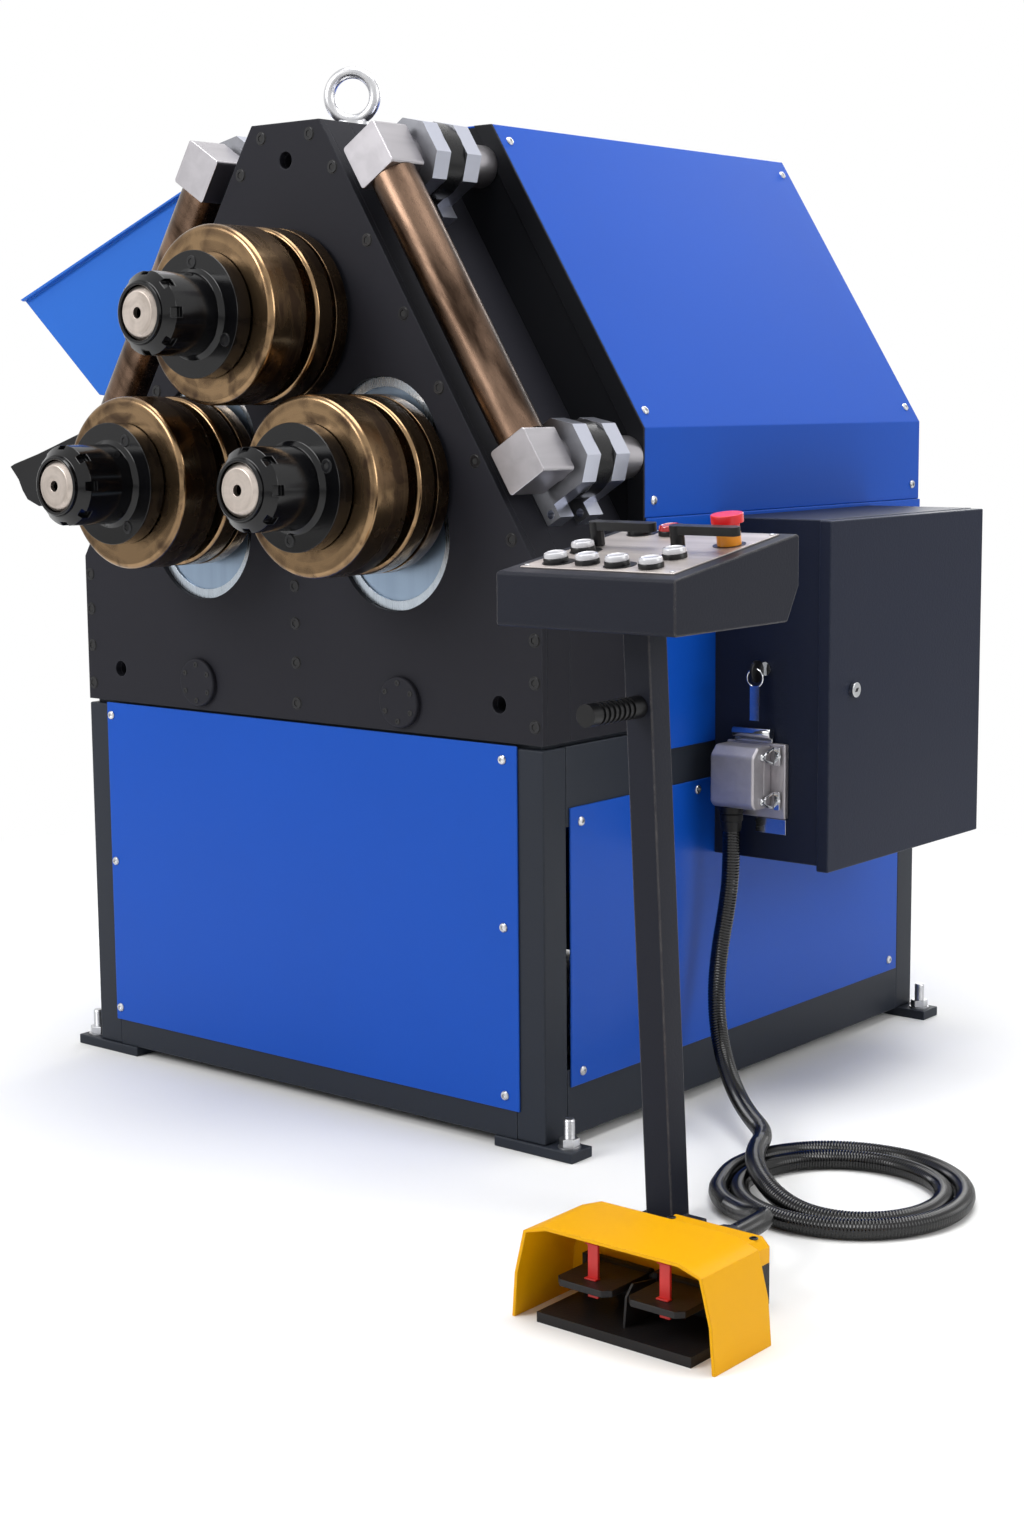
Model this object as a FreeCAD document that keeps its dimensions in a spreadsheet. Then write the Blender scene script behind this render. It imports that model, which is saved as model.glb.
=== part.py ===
import FreeCAD, Part
import math
import os
import Sketcher
from types import SimpleNamespace

# An angle roll bender: three rolls on horizontal shafts stand out of the front
# of a tall head on a square base. The two lower rolls slide in slanted slots.
# X runs to the right seen from the front, Y into the machine, Z up.
# Inside each step Y is counted from the head's front face and X from its middle.
# Lengths are in millimetres and angles in degrees.

DRIVING_SIZES = {
    # places and small gaps
    "guard_reach": 853.0,
    "pedal_reach": 1053.0,
    "seat_gap": 0.3,
    "running_gap": 0.06,
    # base cabinet
    "base_half_width": 455.0,
    "base_depth": 985.0,
    "base_top": 559.0,
    "foot_length": 137.0,
    "foot_depth": 45.0,
    "foot_height": 15.0,
    "foot_overhang": 4.0,
    "foot_outreach": 49.0,
    "stud_radius": 8.0,
    "stud_height": 40.0,
    "stud_nut_radius": 13.0,
    "stud_nut_height": 13.0,
    "stud_inset": 22.0,
    "post_width": 50.0,
    "rail_width": 45.0,
    "lower_rail_height": 95.0,
    "upper_rail_height": 110.0,
    "sheet_thickness": 3.0,
    "front_panel_inset": 43.0,
    "front_panel_bottom": 55.0,
    "side_panel_bottom": 85.0,
    "side_panel_top": 475.0,
    "side_panel_gap": 5.0,
    "top_plate_inset": 10.0,
    "top_plate_thickness": 6.0,
    # head
    "head_shoulder": 788.0,
    "head_top": 1409.0,
    "head_top_half": 66.0,
    "head_corner_half": 82.0,
    "head_depth": 230.0,
    "incline_angle": 58.0,
    "face_plate_thickness": 11.0,
    "slide_housing_back": 60.0,
    "slot_tilt": 8.0,
    "slot_radius": 104.0,
    "slot_below": 73.0,
    "slot_above": 43.0,
    "liner_gap": 0.3,
    "liner_inner_radius": 90.0,
    "liner_depth": 8.0,
    "slide_radius": 100.0,
    "slide_below": 89.0,
    "slide_above": 77.0,
    "slide_travel_down": 40.0,
    "slide_travel_up": 20.0,
    "slide_end_gap": 5.0,
    "slide_side_gap": 0.4,
    "cap_radius": 36.0,
    "cap_height": 8.0,
    "cap_bevel": 2.0,
    "cap_spread": 203.0,
    "cap_level": 607.0,
    "open_hole_radius": 12.0,
    "open_hole_spread": 380.0,
    "open_hole_level": 616.0,
    "top_hole_level": 1357.0,
    # lifting eye
    "eye_place_x": 4.0,
    "eye_place_y": 135.0,
    "eye_ring_radius": 33.5,
    "eye_wire_radius": 8.5,
    "eye_collar_radius": 22.0,
    "eye_collar_height": 11.0,
    "eye_centre_height": 47.0,
    "eye_turn": 30.0,
    # rolls
    "upper_roll_level": 1140.0,
    "lower_roll_spread": 181.0,
    "lower_roll_level": 909.0,
    "shaft_radius": 36.0,
    "shaft_front": 285.0,
    "shaft_inside": 55.0,
    "shaft_chamfer": 7.5,
    "centre_hole_radius": 7.5,
    "centre_hole_depth": 10.0,
    "nut_front": 278.0,
    "nut_face_radius": 42.6,
    "nut_radius": 56.0,
    "nut_bevel": 12.0,
    "nut_notch_width": 13.0,
    "nut_notch_length": 11.0,
    "nut_notch_depth": 6.0,
    "flange_radius": 86.0,
    "flange_front": 184.0,
    "flange_back": 159.0,
    "flange_root": 6.0,
    "drum_radius": 122.5,
    "drum_front": 157.0,
    "drum_back": 90.0,
    "drum_rounding": 8.0,
    "spacer_radius": 84.0,
    "spacer_hub_radius": 70.0,
    "disc_front": 69.0,
    "disc_split_front": 38.0,
    "disc_split_back": 31.0,
    "disc_split_radius": 110.0,
    "disc_back": 8.0,
    "disc_rounding": 6.0,
    "disc_hub_radius": 55.0,
    "disc_hub_back": 2.0,
    # side guides on the inclines
    "guide_out": 56.0,
    "lower_guide_up": 146.5,
    "upper_guide_up": 630.3,
    "block_side": 67.0,
    "block_front": 13.0,
    "block_back": 53.0,
    "block_rounding": 5.0,
    "guide_bar_radius": 32.5,
    "guide_bar_depth": 20.0,
    "guide_shaft_radius": 30.0,
    "clamp_foot_half": 70.0,
    "clamp_foot_thickness": 25.0,
    "clamp_half": 50.0,
    "clamp_bevel_out": 25.0,
    "clamp_top_half": 24.0,
    "clamp_top_out": 52.0,
    "clamp_hole_radius": 6.0,
    "clamp_hole_spread": 59.0,
    "first_clamp_front": 65.0,
    "first_clamp_back": 95.0,
    "second_clamp_front": 129.0,
    "second_clamp_back": 160.0,
    "band_radius": 53.0,
    "horn_front": 5.0,
    "horn_back": 35.0,
    "horn_root_up": 25.0,
    "horn_root_down": 30.0,
    # rear housing
    "housing_out": 103.0,
    "housing_top": 1411.0,
    "cover_split": 858.0,
    "lower_cover_bottom": 528.0,
    "wall_thickness": 8.0,
    "rim_width": 28.0,
    "rim_start": 835.0,
    "guard_tip_level": 1199.0,
    "guard_crest_x": 330.0,
    "guard_crest_level": 1400.0,
    "guard_inner_out": 80.0,
    "guard_lower_up": 210.0,
    "guard_upper_up": 560.0,
    "guard_lip": 9.0,
    # cabinet on the right side
    "cabinet_width": 178.0,
    "cabinet_front": 398.0,
    "cabinet_back": 829.0,
    "cabinet_bottom": 362.0,
    "cabinet_top": 853.0,
    "cabinet_wall": 3.0,
    "door_gap": 0.4,
    "door_thickness": 19.6,
    "door_overlap": 6.0,
    "door_bottom": 355.0,
    "door_top": 852.0,
    "door_sheet": 3.6,
    "lock_radius": 11.0,
    "lock_height": 7.0,
    "lock_y": 454.0,
    "lock_z": 611.0,
    "key_x": 546.0,
    "key_z": 639.0,
    "key_barrel_radius": 10.0,
    "key_barrel_length": 4.0,
    "key_reach": 34.0,
    "key_half_thickness": 1.2,
    "key_half_width": 11.0,
    "key_ring_radius": 13.0,
    "key_ring_wire": 1.4,
    "key_ring_reach": 28.0,
    "key_tag_half_width": 8.0,
    "key_tag_drop": 22.0,
    "key_tag_length": 50.0,
    # connector and hose outlet
    "connector_left": 486.0,
    "connector_right": 586.0,
    "connector_bottom": 425.0,
    "connector_top": 533.0,
    "connector_plate": 10.0,
    "hood_left": 489.0,
    "hood_right": 563.0,
    "hood_bottom": 441.0,
    "hood_top": 531.0,
    "hood_front": 340.0,
    "hood_lower_bevel": 8.0,
    "hood_upper_bevel": 14.0,
    "hose_radius": 12.0,
    "gland_radius": 17.0,
    "gland_length": 36.0,
    "outlet_x": 511.0,
    "outlet_y": 364.0,
    # control console
    "console_left": 565.0,
    "console_right": 831.0,
    "console_front": 227.0,
    "console_depth": 262.0,
    "console_bottom": 750.0,
    "console_front_top": 816.0,
    "console_back_bottom": 793.0,
    "console_bevel": 25.0,
    "console_tilt": 8.9,
    "console_rounding": 5.0,
    "plate_margin_side": 19.0,
    "plate_margin_front": 24.0,
    "plate_margin_back": 16.0,
    "plate_thickness": 2.0,
    "button_radius": 15.5,
    "button_neck_radius": 14.0,
    "button_neck_height": 6.0,
    "button_height": 13.0,
    "lever_radius": 9.0,
    "lever_length": 84.0,
    "lever_tip_radius": 7.0,
    "lever_under": 20.0,
    "lever_thickness": 11.0,
    "stop_x": 785.0,
    "stop_y": -49.0,
    "stop_head_radius": 20.0,
    "stop_head_height": 11.0,
    "stop_skirt_radius": 14.5,
    "stop_skirt_height": 7.0,
    "stop_stem_radius": 8.0,
    "stop_collar_radius": 15.0,
    "stop_collar_height": 16.0,
    "stop_travel": 4.0,
    "stand_foot_x": 733.0,
    "stand_lean": 36.0,
    "stand_width": 40.0,
    "stand_depth": 38.0,
    "stand_front": 122.0,
    "stand_plate_left": 700.0,
    "stand_plate_right": 780.0,
    "stand_plate_front": 240.0,
    "stand_plate_back": 84.0,
    "stand_plate_thickness": 8.0,
    "grip_level": 650.0,
    "grip_length": 106.0,
    "grip_radius": 14.0,
    "grip_groove_radius": 11.5,
    "grip_pitch": 10.0,
    "grip_cap": 18.0,
    # foot switch
    "pedal_centre": 915.0,
    "pedal_front": 465.0,
    "hood_depth": 108.0,
    "hood_foot_half": 138.0,
    "hood_fold_half": 134.0,
    "hood_fold_level": 52.0,
    "hood_knee_half": 121.0,
    "hood_knee_level": 104.0,
    "hood_roof_half": 93.0,
    "hood_roof_level": 114.0,
    "hood_sheet": 4.0,
    "tread_base_half": 105.0,
    "tread_base_front": 462.0,
    "tread_base_height": 12.0,
    "switch_box_half": 70.0,
    "switch_box_back": 257.0,
    "switch_box_seam": 49.0,
    "switch_box_top": 78.0,
    "switch_box_bevel": 10.0,
    "pivot_back": 374.0,
    "pivot_level": 50.0,
    "pivot_radius": 4.0,
    "pedal_eye_radius": 8.0,
    "pedal_offset": 49.0,
    "pedal_half": 38.0,
    "pedal_tip": 455.0,
    "pedal_bevel": 9.0,
    "pedal_thickness": 8.0,
    "flag_half_width": 7.0,
    "flag_thickness": 4.0,
    "flag_y": 432.0,
    "flag_height": 40.0,
    "lower_flag_height": 14.0,
    "lug_inset": 6.0,
    "fin_half_thickness": 1.5,
    "fin_foot_inset": 22.0,
    "fin_tip_inset": 38.0,
    "fin_nose_inset": 26.0,
    "fin_tip_rise": 8.0,
    "fin_nose_drop": 4.0,
    "pedal_gland_radius": 19.0,
    "pedal_gland_length": 30.0,
    "pedal_gland_level": 56.0,
    # hose
    "coil_x": 872.0,
    "coil_y": 102.0,
    "coil_radius": 188.0,
    "coil_hole_radius": 100.0,
    "coil_height": 50.0,
}

# How many notches a ring nut has, and ribs the handle's grip.
NUT_NOTCHES = 8
GRIP_RIBS = 7

# The free edge of the horn on the left lower guide, and two corners of the guard
# sheet, as distances left of the middle and heights.
HORN_EDGE = [(553.6, 944.7), (612.4, 928.6), (622.6, 924.1), (603.7, 904.2),
             (594.9, 887.2), (583.1, 872.8), (555.6, 862.7)]
GUARD_SHOULDER = (242.0, 1375.0)
GUARD_HEEL = (668.0, 1037.0)

# Where the ring buttons and the two selectors stand on the console.
BUTTON_PLACES = [(617.0, -174.0), (665.0, -174.0), (711.0, -176.0), (763.0, -179.0),
                 (610.0, -111.0), (759.0, -126.0), (618.0, -4.0), (666.0, -4.0)]
SELECTOR_PLACES = {"left": (608.0, -78.0), "right": (736.0, -86.0)}

# Where the hose runs from the outlet down to the coil, and from the coil to the foot switch.
HOSE_DROP = [
    (511.0, 364.0, 405.0),
    (511.0, 364.0, 345.0),
    (506.0, 360.0, 290.0),
    (500.0, 352.0, 234.0),
    (501.0, 341.0, 178.0),
    (515.0, 325.0, 126.0),
    (545.0, 299.0, 82.0),
    (590.0, 262.0, 52.0),
    (643.0, 217.0, 40.0),
    (700.0, 170.0, 37.0),
]
HOSE_TAIL = [
    (724.0, 26.0, 25.0),
    (742.0, -6.0, 20.0),
    (768.0, -31.0, 16.0),
    (800.0, -50.0, 14.5),
    (832.1, -70.8, 21.0),
    (870.1, -101.0, 35.2),
    (901.7, -141.2, 49.5),
    (915.0, -192.0, 56.0),
    (915.0, -227.0, 56.0),
]


class Size:
    """A number together with the formula in the sheet that gives it."""

    def __init__(self, number, formula):
        self.number = number
        self.formula = formula

    def __add__(self, other):
        other = as_size(other)
        return Size(self.number + other.number, f"({self.formula} + {other.formula})")

    def __radd__(self, other):
        return as_size(other) + self

    def __sub__(self, other):
        other = as_size(other)
        return Size(self.number - other.number, f"({self.formula} - {other.formula})")

    def __rsub__(self, other):
        return as_size(other) - self

    def __mul__(self, other):
        other = as_size(other)
        return Size(self.number * other.number, f"({self.formula} * {other.formula})")

    def __rmul__(self, other):
        return as_size(other) * self

    def __truediv__(self, other):
        other = as_size(other)
        return Size(self.number / other.number, f"({self.formula} / {other.formula})")

    def __neg__(self):
        return Size(-self.number, f"(0 - {self.formula})")


def as_size(value):
    if isinstance(value, Size):
        return value
    return Size(float(value), f"({float(value)})")


def sine(angle):
    return Size(math.sin(math.radians(angle.number)), f"sin({angle.formula})")


def cosine(angle):
    return Size(math.cos(math.radians(angle.number)), f"cos({angle.formula})")


doc = FreeCAD.newDocument("angle_roll_bender")
sheet = doc.addObject("Spreadsheet::Sheet", "sizes")
for row, (alias, number) in enumerate(DRIVING_SIZES.items(), start=1):
    sheet.set(f"A{row}", alias)
    sheet.set(f"B{row}", str(number))
    sheet.setAlias(f"B{row}", alias)
doc.recompute()
d = SimpleNamespace(**{alias: Size(number, f"sizes.{alias}") for alias, number in DRIVING_SIZES.items()})

# The origin stands on the floor under the middle of the whole object.
machine_x = (d.guard_reach - d.pedal_reach) / 2
machine_y = (d.pedal_front - d.base_depth - d.foot_overhang) / 2
machine_z = as_size(0)

sub_parts = {}


def bind(thing, path, size):
    thing.setExpression(path, as_size(size).formula)


def place(thing, x=0, y=0, z=0, axis=None, angle=None):
    """Places a piece in the machine, turned about one axis through its own origin."""
    if axis is not None:
        thing.Placement = FreeCAD.Placement(FreeCAD.Vector(), FreeCAD.Rotation(FreeCAD.Vector(*axis), 1))
        bind(thing, "Placement.Rotation.Angle", angle)
    bind(thing, "Placement.Base.x", machine_x + x)
    bind(thing, "Placement.Base.y", machine_y + y)
    bind(thing, "Placement.Base.z", machine_z + z)
    return thing


def node(name, *pieces):
    """Makes one named sub-part of one piece, or of several that don't touch."""
    if len(pieces) == 1:
        part = pieces[0]
    else:
        part = doc.addObject("Part::Compound", name)
        part.Links = list(pieces)
    part.Label = name
    sub_parts[name] = part
    return part


def block(x, y, z):
    """A box between two values on each axis."""
    box = doc.addObject("Part::Box", "block")
    bind(box, "Length", as_size(x[1]) - x[0])
    bind(box, "Width", as_size(y[1]) - y[0])
    bind(box, "Height", as_size(z[1]) - z[0])
    return place(box, x[0], y[0], z[0])


def bar_along_y(x, z, radius, front, back):
    """A round bar from front to back."""
    bar = doc.addObject("Part::Cylinder", "bar")
    bind(bar, "Radius", radius)
    bind(bar, "Height", as_size(back) - front)
    return place(bar, x, back, z, (1, 0, 0), as_size(90))


def fuse(name, *pieces):
    joined = doc.addObject("Part::MultiFuse", name)
    joined.Shapes = list(pieces)
    return joined


def cut(name, base, tool):
    remaining = doc.addObject("Part::Cut", name)
    remaining.Base = base
    remaining.Tool = tool
    return remaining


class Piece:
    """A body built from sketches, each drawn where it lies in the machine."""

    def __init__(self, name):
        self.body = doc.addObject("PartDesign::Body", name)
        self.last = None

    def sketch(self, plane, offset, outlines=(), circles=(), slots=()):
        """A sketch on a plane of the body, its points tied to the sizes."""
        drawing = self.body.newObject("Sketcher::SketchObject", "drawing")
        origin = [part for part in self.body.Origin.OriginFeatures if part.Role == plane + "_Plane"][0]
        drawing.AttachmentSupport = [(origin, "")]
        drawing.MapMode = "FlatFace"
        drawing.AttachmentOffset = FreeCAD.Placement(FreeCAD.Vector(0, 0, as_size(offset).number),
                                                     FreeCAD.Rotation())
        bind(drawing, "AttachmentOffset.Base.z", offset)
        for outline in outlines:
            draw_outline(drawing, outline)
        for circle in circles:
            draw_circle(drawing, *circle)
        for slot in slots:
            draw_slot(drawing, *slot)
        return drawing

    def pad(self, plane, start, end, **shapes):
        """Adds material between two values along the plane's normal."""
        return self.extrude("PartDesign::Pad", plane, start, end, shapes)

    def pocket(self, plane, start, end, **shapes):
        """Takes material away between two values along the plane's normal."""
        return self.extrude("PartDesign::Pocket", plane, start, end, shapes)

    def extrude(self, kind, plane, start, end, shapes):
        start, end = as_size(start), as_size(end)
        offset = -end if plane == "XZ" else start
        drawing = self.sketch(plane, offset, **shapes)
        feature = self.body.newObject(kind, "extrusion")
        feature.Profile = drawing
        feature.Reversed = kind == "PartDesign::Pocket"
        bind(feature, "Length", end - start)
        self.last = feature
        return self

    def turn(self, outline):
        """A turned shape. Its outline holds (radius, height along Y) points."""
        drawing = self.sketch("XY", 0, outlines=[outline])
        feature = self.body.newObject("PartDesign::Revolution", "turning")
        feature.Profile = drawing
        feature.ReferenceAxis = (drawing, ["V_Axis"])
        feature.Angle = 360
        self.last = feature
        return self

    def repeat_around(self, count):
        """Repeats the last feature about the Y axis."""
        pattern = self.body.newObject("PartDesign::PolarPattern", "pattern")
        pattern.Originals = [self.last]
        axis = [part for part in self.body.Origin.OriginFeatures if part.Role == "Y_Axis"][0]
        pattern.Axis = (axis, [""])
        pattern.Angle = 360
        pattern.Occurrences = count
        self.body.Tip = pattern
        self.last = pattern
        return self

    def round_edges(self, chosen, radius):
        """Rounds the edges for which the given test is true."""
        doc.recompute()
        shape = self.last.Shape
        names = [f"Edge{number}" for number, edge in enumerate(shape.Edges, start=1) if chosen(edge)]
        rounding = self.body.newObject("PartDesign::Fillet", "rounding")
        rounding.Base = (self.last, names)
        bind(rounding, "Radius", radius)
        self.last = rounding
        return self

    def at(self, x=0, y=0, z=0, axis=None, angle=None):
        return place(self.body, x, y, z, axis, angle)


def draw_outline(drawing, points):
    """A closed outline of straight lines through the given points."""
    points = [(as_size(x), as_size(y)) for x, y in points]
    first = drawing.GeometryCount
    count = len(points)
    for index in range(count):
        start, end = points[index], points[(index + 1) % count]
        drawing.addGeometry(Part.LineSegment(FreeCAD.Vector(start[0].number, start[1].number, 0),
                                             FreeCAD.Vector(end[0].number, end[1].number, 0)), False)
    for index in range(count):
        drawing.addConstraint(Sketcher.Constraint(
            "Coincident", first + index, 2, first + (index + 1) % count, 1))
        for kind, size in zip(("DistanceX", "DistanceY"), points[index]):
            tie_point(drawing, kind, first + index, 1, size)


def tie_point(drawing, kind, line, end, size):
    number = drawing.addConstraint(Sketcher.Constraint(kind, -1, 1, line, end, size.number))
    drawing.setExpression(f"Constraints[{number}]", size.formula)


def draw_circle(drawing, x, y, radius):
    """A circle about a point."""
    x, y, radius = as_size(x), as_size(y), as_size(radius)
    centre = FreeCAD.Vector(x.number, y.number, 0)
    circle = drawing.addGeometry(Part.Circle(centre, FreeCAD.Vector(0, 0, 1), radius.number), False)
    tie_point(drawing, "DistanceX", circle, 3, x)
    tie_point(drawing, "DistanceY", circle, 3, y)
    number = drawing.addConstraint(Sketcher.Constraint("Radius", circle, radius.number))
    drawing.setExpression(f"Constraints[{number}]", radius.formula)


def draw_slot(drawing, low, high, radius):
    """A slot with round ends about two points."""
    low = (as_size(low[0]), as_size(low[1]))
    high = (as_size(high[0]), as_size(high[1]))
    radius = as_size(radius)
    heading = math.atan2(high[1].number - low[1].number, high[0].number - low[0].number)
    side = FreeCAD.Vector(-math.sin(heading), math.cos(heading), 0) * radius.number
    low_point = FreeCAD.Vector(low[0].number, low[1].number, 0)
    high_point = FreeCAD.Vector(high[0].number, high[1].number, 0)
    quarter = math.pi / 2
    ends = []
    for centre, first_angle in ((low_point, heading + quarter), (high_point, heading - quarter)):
        circle = Part.Circle(centre, FreeCAD.Vector(0, 0, 1), radius.number)
        ends.append(drawing.addGeometry(Part.ArcOfCircle(circle, first_angle, first_angle + math.pi), False))
    right = drawing.addGeometry(Part.LineSegment(low_point - side, high_point - side), False)
    left = drawing.addGeometry(Part.LineSegment(high_point + side, low_point + side), False)
    for first, first_end, second, second_end in ((ends[0], 2, right, 1), (right, 2, ends[1], 1),
                                                 (ends[1], 2, left, 1), (left, 2, ends[0], 1)):
        drawing.addConstraint(Sketcher.Constraint("Tangent", first, first_end, second, second_end))
    for arc, centre in zip(ends, (low, high)):
        tie_point(drawing, "DistanceX", arc, 3, centre[0])
        tie_point(drawing, "DistanceY", arc, 3, centre[1])
    number = drawing.addConstraint(Sketcher.Constraint("Radius", ends[0], radius.number))
    drawing.setExpression(f"Constraints[{number}]", radius.formula)


def plate(name, front, back, **shapes):
    """A flat piece whose outline is drawn seen from the front."""
    return Piece(name).pad("XZ", front, back, **shapes).at()


def mirrored(points):
    """The outline of the right half, followed back down its left half."""
    return points + [(-as_size(x), z) for x, z in reversed(points)]


def on_side(points, side):
    return [(side * as_size(x), z) for x, z in points]


# The inclines of the head and of the housing behind it run at the same angle.
incline_cos = cosine(d.incline_angle)
incline_sin = sine(d.incline_angle)
incline_tan = incline_sin / incline_cos


def on_incline(up, out):
    """The point at a distance up the right incline and out from it."""
    return (d.base_half_width - up * incline_cos + out * incline_sin,
            d.head_shoulder + up * incline_sin + out * incline_cos)


def fold_level(half_width, out):
    """Where an upright at this half width meets the incline this far out."""
    return d.head_shoulder + (out + (d.base_half_width - half_width) * incline_sin) / incline_cos


def half_width_at(level, out):
    """How far from the middle the incline this far out lies at this level."""
    return d.base_half_width + (out - (level - d.head_shoulder) * incline_cos) / incline_sin


def make_base():
    half, depth, width = d.base_half_width, d.base_depth, d.post_width
    post_inner = half - width
    foot_right = half + d.foot_outreach
    feet, studs, posts, side_panels = [], [], [], []
    for side in (-1, 1):
        for front, back in ((-d.foot_overhang, d.foot_depth - d.foot_overhang),
                            (depth - d.foot_depth + d.foot_overhang, depth + d.foot_overhang)):
            edges = (foot_right - d.foot_length, foot_right)
            x = edges if side > 0 else (-edges[1], -edges[0])
            feet.append(block(x, (front, back), (0, d.foot_height)))
            stud_x = side * (foot_right - d.stud_inset)
            stud_y = (front + back) / 2
            nut = Piece("stud").pad("XY", d.foot_height, d.foot_height + d.stud_nut_height,
                                    outlines=[hexagon(stud_x, stud_y, d.stud_nut_radius)])
            nut.pad("XY", d.foot_height, d.foot_height + d.stud_height,
                    circles=[(stud_x, stud_y, d.stud_radius)])
            studs.append(nut.at())
        for front, back in ((0, width), (depth - width, depth)):
            x = (post_inner, half) if side > 0 else (-half, -post_inner)
            posts.append(block(x, (front, back), (d.foot_height, d.base_top)))
        x = (half, half + d.sheet_thickness)
        x = x if side > 0 else (-x[1], -x[0])
        side_panels.append(block(x, (width + d.side_panel_gap, depth - width - d.side_panel_gap),
                                 (d.side_panel_bottom, d.side_panel_top)))
    node("foot_plates", *feet)
    node("levelling_studs", *studs)
    node("base_posts", *posts)
    rails = []
    for low, high in ((d.foot_height, d.foot_height + d.lower_rail_height),
                      (d.base_top - d.upper_rail_height, d.base_top)):
        for front, back in ((0, d.rail_width), (depth - d.rail_width, depth)):
            rails.append(block((-post_inner, post_inner), (front, back), (low, high)))
        for x in ((half - d.rail_width, half), (-half, d.rail_width - half)):
            rails.append(block(x, (width, depth - width), (low, high)))
    node("base_rails", *rails)
    panel_half = half - d.front_panel_inset
    panel_top = d.base_top + d.sheet_thickness
    front_panel = Piece("front_panel").pad(
        "XZ", -d.sheet_thickness, 0,
        outlines=[mirrored([(panel_half, d.front_panel_bottom), (panel_half, panel_top)])])
    node("front_panel", front_panel.at())
    rear_panel = block((-panel_half, panel_half), (depth, depth + d.sheet_thickness),
                       (d.front_panel_bottom, panel_top))
    node("base_panels", *side_panels, rear_panel)
    inner = half - d.top_plate_inset
    node("base_top_plate", block((-inner, inner), (d.top_plate_inset, depth - d.top_plate_inset),
                                 (d.base_top, d.base_top + d.top_plate_thickness)))


def hexagon(x, y, radius):
    corners = [as_size(60.0 * number) for number in range(6)]
    return [(x + radius * cosine(angle), y + radius * sine(angle)) for angle in corners]


head_bottom = d.base_top + d.top_plate_thickness


def head_outline():
    corner_level = d.head_shoulder + (d.base_half_width - d.head_corner_half) * incline_tan
    return mirrored([(d.base_half_width, head_bottom), (d.base_half_width, d.head_shoulder),
                     (d.head_corner_half, corner_level), (d.head_top_half, d.head_top)])


def roll_slot_point(side, along):
    """A point on the slanted line that a lower roll's shaft moves on."""
    return (side * (d.lower_roll_spread - along * sine(d.slot_tilt)),
            d.lower_roll_level + along * cosine(d.slot_tilt))


def head_slots(radius, below, above):
    return [(roll_slot_point(side, -below), roll_slot_point(side, above), radius) for side in (-1, 1)]


def make_head():
    bore = d.shaft_radius + d.running_gap
    open_holes = [(0, d.top_hole_level, d.open_hole_radius),
                  (d.open_hole_spread, d.open_hole_level, d.open_hole_radius),
                  (-d.open_hole_spread, d.open_hole_level, d.open_hole_radius)]
    node("head_front_plate", plate(
        "head_front_plate", 0, d.face_plate_thickness, outlines=[head_outline()],
        circles=[(0, d.upper_roll_level, bore)] + open_holes,
        slots=head_slots(d.slot_radius, d.slot_below, d.slot_above)))
    node("slide_housing", plate(
        "slide_housing", d.face_plate_thickness, d.slide_housing_back, outlines=[head_outline()],
        circles=[(0, d.upper_roll_level, bore)] + open_holes,
        slots=head_slots(d.slide_radius + d.slide_side_gap,
                         d.slide_below + d.slide_travel_down + d.slide_end_gap,
                         d.slide_above + d.slide_travel_up + d.slide_end_gap)))
    node("head_core", plate("head_core", d.slide_housing_back, d.head_depth, outlines=[head_outline()]))
    liners = []
    for side in (-1, 1):
        ends = (roll_slot_point(side, -d.slot_below), roll_slot_point(side, d.slot_above))
        liners.append(plate("slot_liner", d.liner_depth, d.face_plate_thickness,
                            slots=[(*ends, d.slot_radius - d.liner_gap), (*ends, d.liner_inner_radius)]))
    node("slot_liners", *liners)
    caps = []
    for side in (-1, 1):
        cap = Piece("pivot_cap").turn([(0, -d.cap_height), (d.cap_radius - d.cap_bevel, -d.cap_height),
                                       (d.cap_radius, d.cap_bevel - d.cap_height), (d.cap_radius, 0), (0, 0)])
        caps.append(cap.at(side * d.cap_spread, 0, d.cap_level))
    node("pivot_caps", *caps)
    ring = doc.addObject("Part::Torus", "eye_ring")
    bind(ring, "Radius1", d.eye_ring_radius)
    bind(ring, "Radius2", d.eye_wire_radius)
    turned = (cosine(d.eye_turn).number, sine(d.eye_turn).number, 0)
    place(ring, d.eye_place_x, d.eye_place_y, d.head_top + d.eye_centre_height, turned, as_size(90))
    collar = doc.addObject("Part::Cylinder", "eye_collar")
    bind(collar, "Radius", d.eye_collar_radius)
    bind(collar, "Height", d.eye_collar_height)
    place(collar, d.eye_place_x, d.eye_place_y, d.head_top)
    node("lifting_eye", fuse("lifting_eye", ring, collar))


def make_slides():
    for side, name in ((-1, "left"), (1, "right")):
        slide = plate(f"{name}_slide_plate", d.face_plate_thickness + d.seat_gap,
                      d.slide_housing_back - d.seat_gap,
                      slots=[(roll_slot_point(side, -d.slide_below), roll_slot_point(side, d.slide_above),
                              d.slide_radius)],
                      circles=[(side * d.lower_roll_spread, d.lower_roll_level,
                                d.shaft_radius + d.running_gap)])
        node(f"{name}_slide_plate", slide)


def circle_edge(radius, height):
    """A test for the round edge of this radius at this value of Y."""
    def chosen(edge):
        curve = edge.Curve
        if not isinstance(curve, Part.Circle):
            return False
        return abs(curve.Radius - radius.number) < 0.01 and abs(curve.Center.y - height.number) < 0.01
    return chosen


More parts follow.
